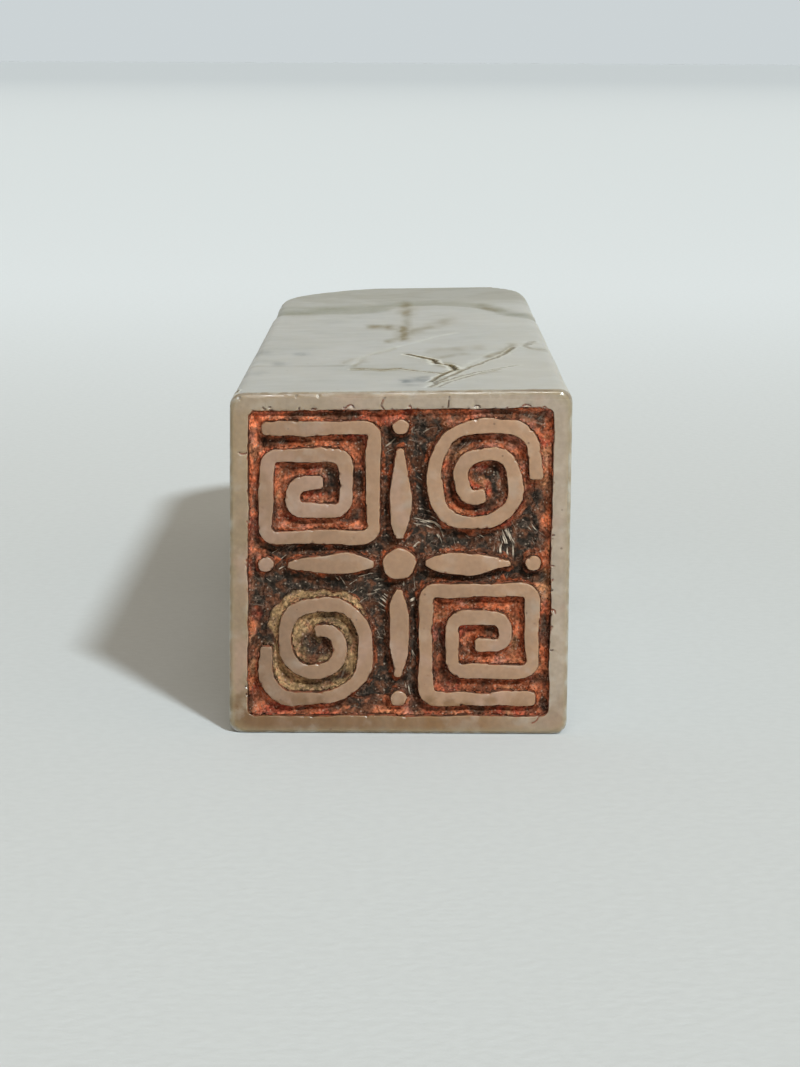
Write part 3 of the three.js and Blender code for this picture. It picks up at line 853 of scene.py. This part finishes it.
def stained_face(stone, looks, across, up, outward):
    """The colour of the printing face, where paste has soaked in: its raised lines and its border. Painted
    light and shade make it darker towards the left and the bottom.
    """
    clouds = stone.mottle(9 * MM, detail=4, distortion=0.8)
    flecks = stone.mottle(1.1 * MM, detail=4)
    bruises = stone.mottle(2.2 * MM, detail=3, distortion=0.5)
    streaks = stone.mottle(1.6 * MM, detail=3, place=stone.stretched((1, 1, 0.25)))
    border = stone.blend(
        stone.spread(across, -1, 1), tuple(looks.border_left), tuple(looks.border_right))
    # Painted light and shade: the raised lines darker towards the left and lighter towards the right
    painted_light_on_lines = stone.maths("MULTIPLY_ADD", across, 0.22, 0.97)
    lines = stone.shade(tuple(looks.stain), painted_light_on_lines)
    stain = stone.blend(stone.spread(outward, 0.845, 0.87), lines, border)
    # Painted light and shade: lighter towards the top and darker towards the bottom; the clouds and flecks
    # added next are the stone's own tone
    light = stone.maths("MULTIPLY_ADD", up, 0.07, 1.0)
    light = stone.maths("ADD", light, stone.spread(clouds, 0.35, 0.65, 0.07, -0.07))
    light = stone.maths("ADD", light, stone.spread(flecks, 0.35, 0.65, -0.05, 0.05))
    stain = stone.shade(stain, light)
    stain = stone.blend(stone.spread(bruises, 0.54, 0.72, 0, 0.4), stain, FACE_TONES["bruise"])
    pink = stone.spread(stone.mottle(4.5 * MM, detail=3, distortion=0.7), 0.5, 0.66, 0, 0.5)
    stain = stone.blend(pink, stain, FACE_TONES["pink cloud"])
    stain = stone.blend(stone.spread(up, 0.84, 0.9, 0, 0.3), stain, FACE_TONES["upper border"])
    low = stone.maths("ADD", up, stone.spread(flecks, 0.3, 0.7, -0.06, 0.06))
    foot = stone.product(
        stone.spread(low, -0.88, -0.78, 1, 0),
        stone.spread(across, 0.35, 0.95, 1, 0.3),
        stone.spread(streaks, 0.35, 0.62, 0.75, 1))
    umber = stone.blend(
        stone.spread(across, -0.8, 0.8), FACE_TONES["foot at the left"], FACE_TONES["foot at the right"])
    stain = stone.blend(foot, stain, umber)
    rim = stone.spread(outward, 0.945, 0.99, 0, 0.6)
    stain = stone.blend(rim, stain, FACE_TONES["rim"])
    corner = stone.maths("ABSOLUTE", stone.product(across, up))
    stain = stone.blend(stone.spread(corner, 0.80, 0.94, 0, 0.45), stain, FACE_TONES["corner"])
    fine = stone.spread(stone.mottle(0.35 * MM, detail=4), 0.3, 0.7, 0.93, 1.07)
    stain = stone.shade(stain, fine)
    distance, pick, _, _ = stone.grains(0.55 * MM)
    pit = stone.product(stone.spread(distance, 0.08, 0.2, 0.7, 0), stone.spread(pick, 0.90, 0.94))
    return stone.blend(pit, stain, FACE_TONES["pit"])


def dirt_along_top_edge(stone, up):
    """How much dirt lies along the edge where the face meets the upper side, from 0 to 1."""
    return stone.product(
        stone.spread(up, 0.9, 0.95),
        stone.spread(stone.mottle(9 * MM, detail=4), 0.35, 0.6, 0.3, 1),
        stone.spread(stone.y, FACE_Y + 0.06 * MM, FACE_Y + 0.10 * MM),
        stone.spread(stone.y, FACE_Y + 0.2 * MM, FACE_Y + 0.36 * MM, 1, 0))


def polish_stone(stone, across, up, recess):
    """Satin all over, with a rubbed top edge to the face that is glossiest near its right end."""
    top_edge = stone.product(
        stone.spread(up, 0.93, 0.955), stone.spread(stone.y, FACE_Y + 0.1 * MM, FACE_Y + 0.5 * MM, 1, 0))
    satin = stone.spread(stone.mottle(3 * MM, detail=4), 0.3, 0.7, 0.36, 0.48)
    rubbed = stone.spread(stone.mottle(1.4 * MM, detail=4), 0.35, 0.65, 0.10, 0.32)
    rubbed = stone.maths("MULTIPLY_ADD", stone.spread(across, 0.68, 0.76), -0.12, rubbed)
    polish = stone.between(top_edge, satin, rubbed)
    worn = stone.product(stone.spread(recess, 0.002, 0.012), stone.spread(recess, 0.06, 0.12, 1, 0))
    polish = stone.between(worn, polish, 0.28)
    cracked = stone.product(stone.spread(stone.measure("fissure"), 0.6, 1.8, 1, 0), stone.measure("dark"))
    dull = stone.maths("MAXIMUM", cracked, stone.measure("umber"))
    polish = stone.between(dull, polish, 0.9)
    polish = stone.maths("ADD", polish, stone.spread(recess, 0.1, 0.4, 0, 0.35))
    stone.feed(stone.shader.inputs["Roughness"], stone.maths("MAXIMUM", polish, 0.08))
    elsewhere = stone.maths("SUBTRACT", 1.0, top_edge)
    grinding = stone.product(
        stone.mottle(0.5 * MM, detail=5, place=stone.stretched((1, 0.08, 1))), elsewhere)
    grain = stone.product(stone.mottle(0.12 * MM, detail=3), elsewhere)
    ground = stone.bump(grinding, 0.010 * MM)
    stone.feed(stone.shader.inputs["Normal"], stone.bump(grain, 0.004 * MM, ground))


def stone_material(looks):
    """Soapstone: pale and slightly translucent, satin, stained on the face and dark in its fissures."""
    stone = Recipe("soapstone", roughness=0.4)
    across, up, outward = stone.place_in_face()
    colour = clouded_stone(stone, looks)

    uneven = stone.spread(stone.mottle(1.1 * MM, detail=4), 0.3, 0.7, 0, 0.25 * MM)
    behind_face = stone.maths("ADD", stone.y, uneven)
    edge_dirt = dirt_along_top_edge(stone, up)
    stain = stained_face(stone, looks, across, up, outward)
    stain = stone.blend(edge_dirt, stain, FACE_TONES["dirt along the top edge"])
    stained = stone.spread(behind_face, FACE_Y + 0.15 * MM, FACE_Y + 0.6 * MM, 1, 0)
    recess = stone.measure("recess")
    carved = stone.spread(recess, 0.01, 0.03)
    covered = stone.maths("MAXIMUM", stained, stone.maths("MAXIMUM", edge_dirt, carved))
    colour = stone.blend(covered, colour, stain)

    # The carving's walls: red paste in places, elsewhere dark, partly dirt and partly painted shade in the
    # recess
    red_wall = stone.spread(stone.mottle(0.7 * MM, detail=4), 0.45, 0.6)
    wall = stone.blend(red_wall, FACE_TONES["dark wall, dirt and painted shade"], FACE_TONES["red wall"])
    colour = stone.blend(stone.spread(recess, 0.03, 0.11), colour, wall)
    stone.feed(stone.shader.inputs["Base Color"], colour)
    polish_stone(stone, across, up, recess)
    stone.shader.inputs["Subsurface Weight"].default_value = 0.6
    stone.shader.inputs["Subsurface Radius"].default_value = (1.0, 0.85, 0.62)
    stone.shader.inputs["Subsurface Scale"].default_value = 0.6 * MM
    stone.shader.inputs["IOR"].default_value = 1.55
    return stone.material


def scratch_streaks(crust):
    """Fans of short pale knife scratches: 1 in the middle of a scratch and 0 off it."""
    flat = crust.stretched((1, 0, 1))
    fans = crust.add("ShaderNodeTexVoronoi", {"Vector": flat, "Scale": 1 / (2.1 * MM), "Randomness": 0.9})
    turn, chosen, _ = crust.split(fans.outputs["Color"])
    offset = crust.add(
        "ShaderNodeVectorMath", {0: crust.place, 1: fans.outputs["Position"]}, operation="SUBTRACT").outputs[0]
    offset = crust.add(
        "ShaderNodeVectorMath", {0: offset, 1: (1, 0, 1)}, operation="MULTIPLY").outputs[0]
    length = crust.add("ShaderNodeVectorMath", {0: offset}, operation="LENGTH").outputs["Value"]
    turned = crust.add(
        "ShaderNodeVectorRotate", {"Vector": offset, "Angle": crust.maths("MULTIPLY", turn, 2 * math.pi)},
        rotation_type="Y_AXIS").outputs[0]
    bent = crust.maths("MULTIPLY", crust.mottle(1.5 * MM, detail=1), 0.5 * MM)
    shift = crust.add("ShaderNodeCombineXYZ", {"X": chosen, "Y": turn, "Z": bent}).outputs[0]
    place = crust.add("ShaderNodeVectorMath", {0: turned, 1: shift}, operation="ADD").outputs[0]
    drawn = crust.add("ShaderNodeMapping", {"Vector": place, "Scale": (0.09, 1, 1)}).outputs[0]
    streak = crust.product(
        crust.spread(crust.mottle(0.17 * MM, detail=1, place=drawn), 0.58, 0.63),
        crust.spread(crust.mottle(0.07 * MM, detail=2, place=drawn), 0.40, 0.50))
    fan = crust.spread(length, 0.6 * MM, 1.1 * MM, 1, 0)
    in_the_open = crust.spread(crust.measure("wall"), 0.15, 0.35)
    on_ink = crust.spread(crust.measure("paste"), 0.1, 0.7, 1, 0.15)
    return crust.product(streak, fan, crust.spread(chosen, 0.5, 0.55), in_the_open, on_ink)


def deposit_material(name, looks, roughness):
    """Dried paste and ink. Paste is red and crumbly near the walls, and ink is dark in the open. Painted light
    and shade lie on the crumbs and along the walls, and painted glints on the specks.
    """
    crust = Recipe(name, roughness)
    wall, paste, aged = (crust.measure(kind) for kind in ("wall", "paste", "aged"))
    rim = crust.spread(paste, 0, 1, 0.24, 0.85)
    lumps = crust.mottle(0.8 * MM, detail=4, distortion=0.5)
    reach = crust.maths("ADD", wall, crust.spread(lumps, 0.3, 0.7, -0.28, 0.28))
    reach = crust.maths("DIVIDE", reach, rim)
    reach = crust.maths("ADD", reach, crust.patches(2.6 * MM, 0.4, 0.7, 1, 0.011))
    reddened = crust.spread(reach, 0.3, 1.3, 1, 0)
    sooty = crust.patches(2.1 * MM, 0.54, 0.64, 0.6, 0.023)
    reddened = crust.product(reddened, crust.maths("SUBTRACT", 1.0, sooty))
    red = crust.blend(crust.patches(1.3 * MM, 0.40, 0.60, 1, 0.031), tuple(looks.deep_red), tuple(looks.red))
    red = crust.blend(crust.patches(2.8 * MM, 0.52, 0.66, 0.7, 0.047), red, CRUST_TONES["crimson"])
    red = crust.blend(crust.patches(1.9 * MM, 0.55, 0.68, 0.6, 0.073), red, CRUST_TONES["pink"])
    red = crust.blend(crust.patches(1.1 * MM, 0.54, 0.66, 0.6, 0.083), red, CRUST_TONES["brown paste"])
    aging = crust.maths("MAXIMUM", crust.patches(2.4 * MM, 0.55, 0.68, 0.5, 0.059), aged)
    red = crust.blend(aging, red, tuple(looks.ochre))
    red = crust.blend(crust.patches(0.5 * MM, 0.52, 0.68, 0.5, 0.067), red, CRUST_TONES["bright crumb"])
    dirt = crust.blend(crust.patches(1.3 * MM, 0.42, 0.62, 1, 0.031), tuple(looks.dirt), tuple(looks.deep_red))
    black = crust.blend(crust.spread(lumps, 0.45, 0.62), CRUST_TONES["dark ink"], CRUST_TONES["brown ink"])
    colour = crust.blend(reddened, black, crust.blend(crust.spread(paste, 0.2, 0.8), dirt, red))

    crumbs = crust.mottle(0.2 * MM, detail=4, distortion=0.3)
    ragged = crust.maths("ADD", wall, crust.spread(crumbs, 0.3, 0.7, -0.06, 0.06))
    _, up, outward = crust.place_in_face()
    painted_light_at_top = crust.maths("MULTIPLY_ADD", crust.spread(up, -1, 1), 0.42, 1.05)
    # Painted light and shade: the crumbs lit and shaded, more light at the top of the border channel, and shade
    # at the foot of the walls, partly dirt; the two broader mottles are the crust's own tone
    lit = crust.product(
        crust.between(crust.spread(outward, 0.78, 0.83), 1.0, painted_light_at_top),
        crust.spread(crumbs, 0.38, 0.62, 0.6, 1.36),
        crust.spread(crust.mottle(1.7 * MM, detail=2), 0.36, 0.64, 0.82, 1.26),
        crust.spread(crust.mottle(0.55 * MM, detail=3), 0.35, 0.65, 0.76, 1.26),
        crust.spread(ragged, 0.0, 0.12, 0.5, 1))
    colour = crust.shade(colour, lit)
    contour = crust.contours(crust.mottle(0.45 * MM, detail=3))
    veins = crust.product(
        crust.spread(contour, 0.008, 0.03, 0.55, 0), crust.patches(0.9 * MM, 0.42, 0.58, 1, 0.091))
    vein = crust.blend(reddened, CRUST_TONES["vein in ink"], CRUST_TONES["vein in paste"])
    colour = crust.blend(veins, colour, vein)
    distance, pick, second_pick, third_pick = crust.grains(0.19 * MM)
    near_middle = crust.spread(distance, 0.2, 0.45, 1, 0)
    pit = crust.product(near_middle, crust.spread(second_pick, 0.70, 0.78, 0, 0.75))
    colour = crust.blend(pit, colour, CRUST_TONES["pit"])
    # Pale specks: partly crumbs of stone, partly painted glints
    speck = crust.product(near_middle, crust.spread(pick, 0.78, 0.89, 0, 0.7))
    pale = crust.blend(reddened, CRUST_TONES["pale speck and painted glint on ink"], CRUST_TONES["pale speck and painted glint on paste"])
    colour = crust.blend(speck, colour, pale)
    scratch = scratch_streaks(crust)
    colour = crust.blend(scratch, colour, CRUST_TONES["scratch"])
    crust.feed(crust.shader.inputs["Base Color"], colour)
    glint = crust.product(near_middle, crust.spread(third_pick, 0.88, 0.94))
    crust.feed(crust.shader.inputs["Roughness"], crust.spread(glint, 0, 1, roughness, 0.25))
    crust.shader.inputs["Specular IOR Level"].default_value = 0.06
    height = crust.maths("MULTIPLY_ADD", scratch, -0.6, crumbs)
    crust.feed(crust.shader.inputs["Normal"], crust.bump(height, 0.06 * MM))
    return crust.material


def dressed_stone(looks):
    stone = carved_front(looks)
    join_at_cut(stone, ground_sides(looks))
    chip_outer_edges(stone, looks.chips)
    hold_inside(stone)
    return stone


def stone_measures(bm):
    """What the material needs to know of each point."""
    measures = {name: [] for name in ("recess", "fissure", "dark", "seam", *STAIN_AND_HIGHLIGHT_KINDS)}
    for v in bm.verts:
        inside = from_sides(v.co) > 0.7 * MM and v.co.y < FRONT_END_Y - 0.1 * MM
        measures["recess"].append((v.co.y - FACE_Y) / GROUND_DEPTH if inside else 0.0)
        for kind, strength in stains_and_highlights_at(v.co)[0].items():
            measures[kind].append(strength)
        distance, _, dark = nearest_fissure(v.co)
        measures["fissure"].append(distance)
        measures["dark"].append(dark)
        measures["seam"].append(seam_at(v.co) if v.co.y > SEAM_START_Y else 0.0)
    return measures


def ground_grid(cell):
    """A flat net of even cells over the whole carved ground, in the plane of its floor."""
    width = CHANNEL_HIGH.x - CHANNEL_LOW.x + 0.6 * MM
    height = CHANNEL_HIGH.z - CHANNEL_LOW.z + 0.6 * MM
    bm = bmesh.new()
    bmesh.ops.create_grid(bm, x_segments=round(width / cell), y_segments=round(height / cell), size=0.5)
    bmesh.ops.scale(bm, vec=(width, height, 1), verts=bm.verts)
    bmesh.ops.rotate(bm, cent=(0, 0, 0), matrix=Matrix.Rotation(math.radians(90), 3, "X"), verts=bm.verts)
    middle = Vector(((CHANNEL_LOW.x + CHANNEL_HIGH.x) / 2, GROUND_Y, (CHANNEL_LOW.z + CHANNEL_HIGH.z) / 2))
    bmesh.ops.translate(bm, vec=middle, verts=bm.verts)
    tag = bm.verts.layers.int.new("net")
    for v in bm.verts:
        v[tag] = v.index
    return bm


def wall_distance(tree, x, z):
    """How far the nearest wall of the carving is from a place on its floor, up to 1 mm."""
    start = Vector((x, FACE_Y + 0.55 * GROUND_DEPTH, z))
    nearest = 1 * MM
    directions = 8
    for step in range(directions):
        angle = step * 2 * math.pi / directions
        hit = tree.ray_cast(start, Vector((math.cos(angle), 0, math.sin(angle))), nearest)
        if hit[0] is not None:
            nearest = min(nearest, hit[3])
    return nearest


def thickness(paste, x, z, wall):
    """How thick a deposit lies at a place. It piles up along the walls and is worn thin in the open."""
    place = Vector((x, z, 0))
    lumps = noise.noise(place / (0.75 * MM)) + 0.5 * noise.noise(place / (0.35 * MM))
    pebbles = 0.6 - noise.voronoi(place / (0.34 * MM))[0][0]
    crumbs = noise.noise(place / (0.15 * MM) + Vector((7, 3, 1)))
    pile = 1 - smooth(wall / (0.5 * MM))
    ink_depth = 0.06 + 0.06 * lumps + 0.08 * pebbles + 0.035 * crumbs + 0.25 * pile
    paste_depth = 0.22 + 0.10 * lumps + 0.12 * pebbles + 0.05 * crumbs + 0.30 * pile
    return max(-0.03, ink_depth + (paste_depth - ink_depth) * paste) * MM


def owner_of_cell(face, ground, tag):
    """The node that a cell of the net belongs to, or nothing where the stone stands in it."""
    if any(v[tag] not in ground for v in face.verts):
        return None
    owners = [ground[v[tag]]["node"] for v in face.verts]
    return max(sorted(set(owners)), key=owners.count)


def tuck_under_walls(net, ground):
    """Carries what is known of the ground one cell further, into the walls that stand round it."""
    tucked = {}
    for f in net.faces:
        known = [v.index for v in f.verts if v.index in ground]
        if known:
            for v in f.verts:
                if v.index not in ground:
                    tucked[v.index] = {**ground[known[0]], "wall": 0.0}
    ground.update(tucked)


def survey_ground(net, stone):
    """What lies at each corner of the net: its node, floor, wall distance and shares of the two pastes."""
    surfaces = {node: surface_of(node) for node in DEPOSITS}
    ground = {}
    for v in net.verts:
        hit = stone.ray_cast(Vector((v.co.x, FACE_Y - 1 * MM, v.co.z)), Vector((0, 1, 0)))[0]
        if hit is None or hit.y < FACE_Y + 0.6 * GROUND_DEPTH or hit.y > FRONT_END_Y - 0.2 * MM:
            continue
        stir = 0.35 * MM * noise.noise_vector(v.co / (0.9 * MM))
        stirred = v.co + Vector((stir.x, 0, stir.z))
        near = {node: surface.find_nearest(stirred)[3] for node, surface in surfaces.items()}
        to_ink = near["ink_open_ground"]
        to_aged = near["paste_lower_left_volute"]
        to_paste = min(near[node] for node in DEPOSITS if node != "ink_open_ground")
        to_red = min(near[node] for node, slot in DEPOSITS.items() if slot == "red_paste")
        ground[v.index] = {
            "node": min(near, key=near.get),
            "floor": hit.y,
            "wall": wall_distance(stone, v.co.x, v.co.z),
            "paste": smooth(0.5 + (to_ink - to_paste) / (0.7 * MM)),
            "aged": smooth(0.5 + (to_red - to_aged) / (1.2 * MM)),
        }
    tuck_under_walls(net, ground)
    return ground


def lay_deposits(stone_piece, looks):
    """Covers the carved floor with the deposits, each over the ground nearest to its own node."""
    bm = bmesh.new()
    bm.from_mesh(stone_piece.data)
    stone = BVHTree.FromBMesh(bm)
    bm.free()
    net = ground_grid(looks.deposit_cell)
    ground = survey_ground(net, stone)
    materials = {
        slot: deposit_material(slot, looks, 0.6 if slot == "dark_ink" else 0.75)
        for slot in sorted(set(DEPOSITS.values()))
    }
    for node, slot in DEPOSITS.items():
        bm = net.copy()
        tag = bm.verts.layers.int["net"]
        others = [f for f in bm.faces if owner_of_cell(f, ground, tag) != node]
        bmesh.ops.delete(bm, geom=others, context="FACES")
        raised = bmesh.ops.extrude_face_region(bm, geom=bm.faces[:])["geom"]
        for v in bm.verts:
            v.co.y = ground[v[tag]]["floor"] + 0.05 * MM
        for v in raised:
            if isinstance(v, bmesh.types.BMVert):
                place = ground[v[tag]]
                top = place["floor"] - thickness(place["paste"], v.co.x, v.co.z, place["wall"])
                v.co.y = max(FACE_Y + 0.12 * MM, top)
        bmesh.ops.recalc_face_normals(bm, faces=bm.faces)
        number_by_place(bm)
        places = [ground[v[tag]] for v in bm.verts]
        measures = {kind: [place[kind] for place in places] for kind in ("paste", "aged")}
        measures["wall"] = [place["wall"] / MM for place in places]
        finish_piece(node + "_crust", bm, materials[slot], node, measures)
        bm.free()
    net.free()


def floor_material(near_colour, far_colour, furthest_colour):
    """A pale cloth with painted light, cooler and lighter further off."""
    cloth = Recipe("pale_floor", roughness=0.9)
    # Painted light: lighter and cooler behind the seal, and a little darker again far off
    colour = cloth.blend(cloth.spread(cloth.y, 0.0, 0.38), near_colour, far_colour)
    colour = cloth.blend(cloth.spread(cloth.y, 0.8, 7.0), colour, furthest_colour)
    weave = cloth.mottle(0.8 * MM, detail=4)
    worn = cloth.spread(weave, 0.3, 0.7, 0.97, 1)
    cloth.feed(cloth.shader.inputs["Base Color"], cloth.shade(colour, worn))
    cloth.feed(cloth.shader.inputs["Normal"], cloth.bump(weave, 0.04 * MM))
    cloth.shader.inputs["Specular IOR Level"].default_value = 0.1
    return cloth.material


def wide_floor():
    """A floor that reaches to the horizon."""
    bm = bmesh.new()
    bmesh.ops.create_grid(bm, x_segments=1, y_segments=1, size=40)
    mesh = bpy.data.meshes.new("floor")
    bm.to_mesh(mesh)
    bm.free()
    mesh.materials.append(
        floor_material((0.65, 0.665, 0.69, 1), (0.83, 0.866, 0.93, 1), (0.68, 0.72, 0.79, 1)))
    floor = in_scene("floor", mesh)


def soft_sun(name, direction, softness, strength, colour):
    """A lamp so far off that its light comes from one direction all over."""
    lamp = bpy.data.lights.new(name, "SUN")
    lamp.angle = math.radians(softness)
    lamp.energy = strength
    lamp.color = colour
    holder = in_scene(name, lamp)
    holder.rotation_euler = Vector(direction).to_track_quat("-Z", "Y").to_euler()


def soft_panel(name, place, aim, width, height, power):
    """A long soft lamp that looks at a place."""
    lamp = bpy.data.lights.new(name, "AREA")
    lamp.shape = "RECTANGLE"
    lamp.size = width
    lamp.size_y = height
    lamp.energy = power
    holder = in_scene(name, lamp)
    holder.location = place
    holder.rotation_euler = (Vector(aim) - Vector(place)).to_track_quat("-Z", "Y").to_euler()


def set_world(colour, strength, seen_colour):
    """Soft light from all round, and the pale backdrop that shows beyond the floor and in the polish."""
    world = bpy.data.worlds.new("soft_room")
    room = NodeBench(world)
    light = room.tree.nodes["Background"]
    light.inputs["Color"].default_value = colour
    light.inputs["Strength"].default_value = strength
    seen = room.add("ShaderNodeBackground", {"Color": seen_colour})
    rays = room.add("ShaderNodeLightPath").outputs
    direction = room.add("ShaderNodeTexCoord").outputs["Generated"]
    ahead = {"Value": room.split(direction)["Y"], "From Min": 0.3, "From Max": 0.7}
    mirrored = room.product(rays["Is Glossy Ray"], room.add("ShaderNodeMapRange", ahead).outputs[0])
    shown = room.maths("MAXIMUM", rays["Is Camera Ray"], mirrored)
    mix = room.add("ShaderNodeMixShader", {0: shown, 1: light.outputs[0], 2: seen.outputs[0]})
    room.feed(room.tree.nodes["World Output"].inputs["Surface"], mix.outputs[0])
    bpy.context.scene.world = world


def set_camera():
    """The photograph's camera: its distance is long, and it looks down on the seal by a few degrees."""
    frame_height_px = 1067
    focal_px = 3100
    film_height = 36
    camera = bpy.data.cameras.new("camera")
    camera.sensor_fit = "VERTICAL"
    camera.sensor_height = film_height
    camera.lens = film_height * focal_px / frame_height_px
    camera.clip_start = 0.01
    holder = in_scene("camera", camera)
    pitch, yaw, roll = (math.radians(angle) for angle in (8.69, 0.2, 0.24))
    turned = (
        Matrix.Rotation(yaw, 4, "Z")
        @ Matrix.Rotation(math.pi / 2 - pitch, 4, "X")
        @ Matrix.Rotation(roll, 4, "Z")
    )
    place = Vector((0.71 * MM, FACE_Y - 197.54 * MM, STONE_LOW.z + 43.41 * MM))
    holder.matrix_world = Matrix.Translation(place) @ turned
    bpy.context.scene.camera = holder


class SEAL_OT_dress_stone(Operator):
    """Builds the carved stone with its worn edges, its fissures and its satin finish"""
    bl_idname = "seal.dress_stone"
    bl_label = "Dress Stone"

    def execute(self, context):
        looks = context.scene.seal_looks
        stone = dressed_stone(looks)
        measures = stone_measures(stone)
        finish_piece("carved_stone", stone, stone_material(looks), STONE, measures)
        stone.free()
        return {"FINISHED"}


class SEAL_OT_lay_deposits(Operator):
    """Lays the dried paste and the old ink on the floor of the carving"""
    bl_idname = "seal.lay_deposits"
    bl_label = "Lay Deposits"

    def execute(self, context):
        lay_deposits(bpy.data.objects["carved_stone"], context.scene.seal_looks)
        return {"FINISHED"}


class SEAL_OT_set_stage(Operator):
    """Sets the pale floor, the soft lamps and the camera"""
    bl_idname = "seal.set_stage"
    bl_label = "Set Stage"

    def execute(self, context):
        wide_floor()
        soft_sun("key", (-0.333, 0.752, -0.569), softness=5.2, strength=3.0, colour=(0.874, 0.98, 1.0))
        edge = Vector((0, FACE_Y, STONE_HIGH.z))
        soft_panel(
            "edge_light", edge + Vector((0, -0.391, 0.580)), edge, width=0.30, height=0.04, power=0.6)
        set_world((1.0, 0.905, 0.70, 1), strength=0.385, seen_colour=(0.605, 0.652, 0.668, 1))
        set_camera()
        view = context.scene.view_settings
        view.view_transform = "Standard"
        return {"FINISHED"}


class SEAL_PT_tools(Panel):
    """Lists the steps that build the seal, and the looks that can be set."""
    bl_label = "Stone Seal"
    bl_idname = "SEAL_PT_tools"
    bl_space_type = "VIEW_3D"
    bl_region_type = "UI"
    bl_category = "Seal"

    def draw(self, context):
        for operator in (SEAL_OT_dress_stone, SEAL_OT_lay_deposits, SEAL_OT_set_stage):
            self.layout.operator(operator.bl_idname)
        for name in SealLooks.__annotations__:
            self.layout.prop(context.scene.seal_looks, name)


CLASSES = (SealLooks, SEAL_OT_dress_stone, SEAL_OT_lay_deposits, SEAL_OT_set_stage, SEAL_PT_tools)


def register():
    for cls in CLASSES:
        bpy.utils.register_class(cls)
    bpy.types.Scene.seal_looks = PointerProperty(type=SealLooks)


def unregister():
    del bpy.types.Scene.seal_looks
    for cls in reversed(CLASSES):
        bpy.utils.unregister_class(cls)


def main():
    register()
    bpy.ops.seal.dress_stone()
    bpy.ops.seal.lay_deposits()
    bpy.ops.seal.set_stage()


if __name__ == "__main__":
    main()
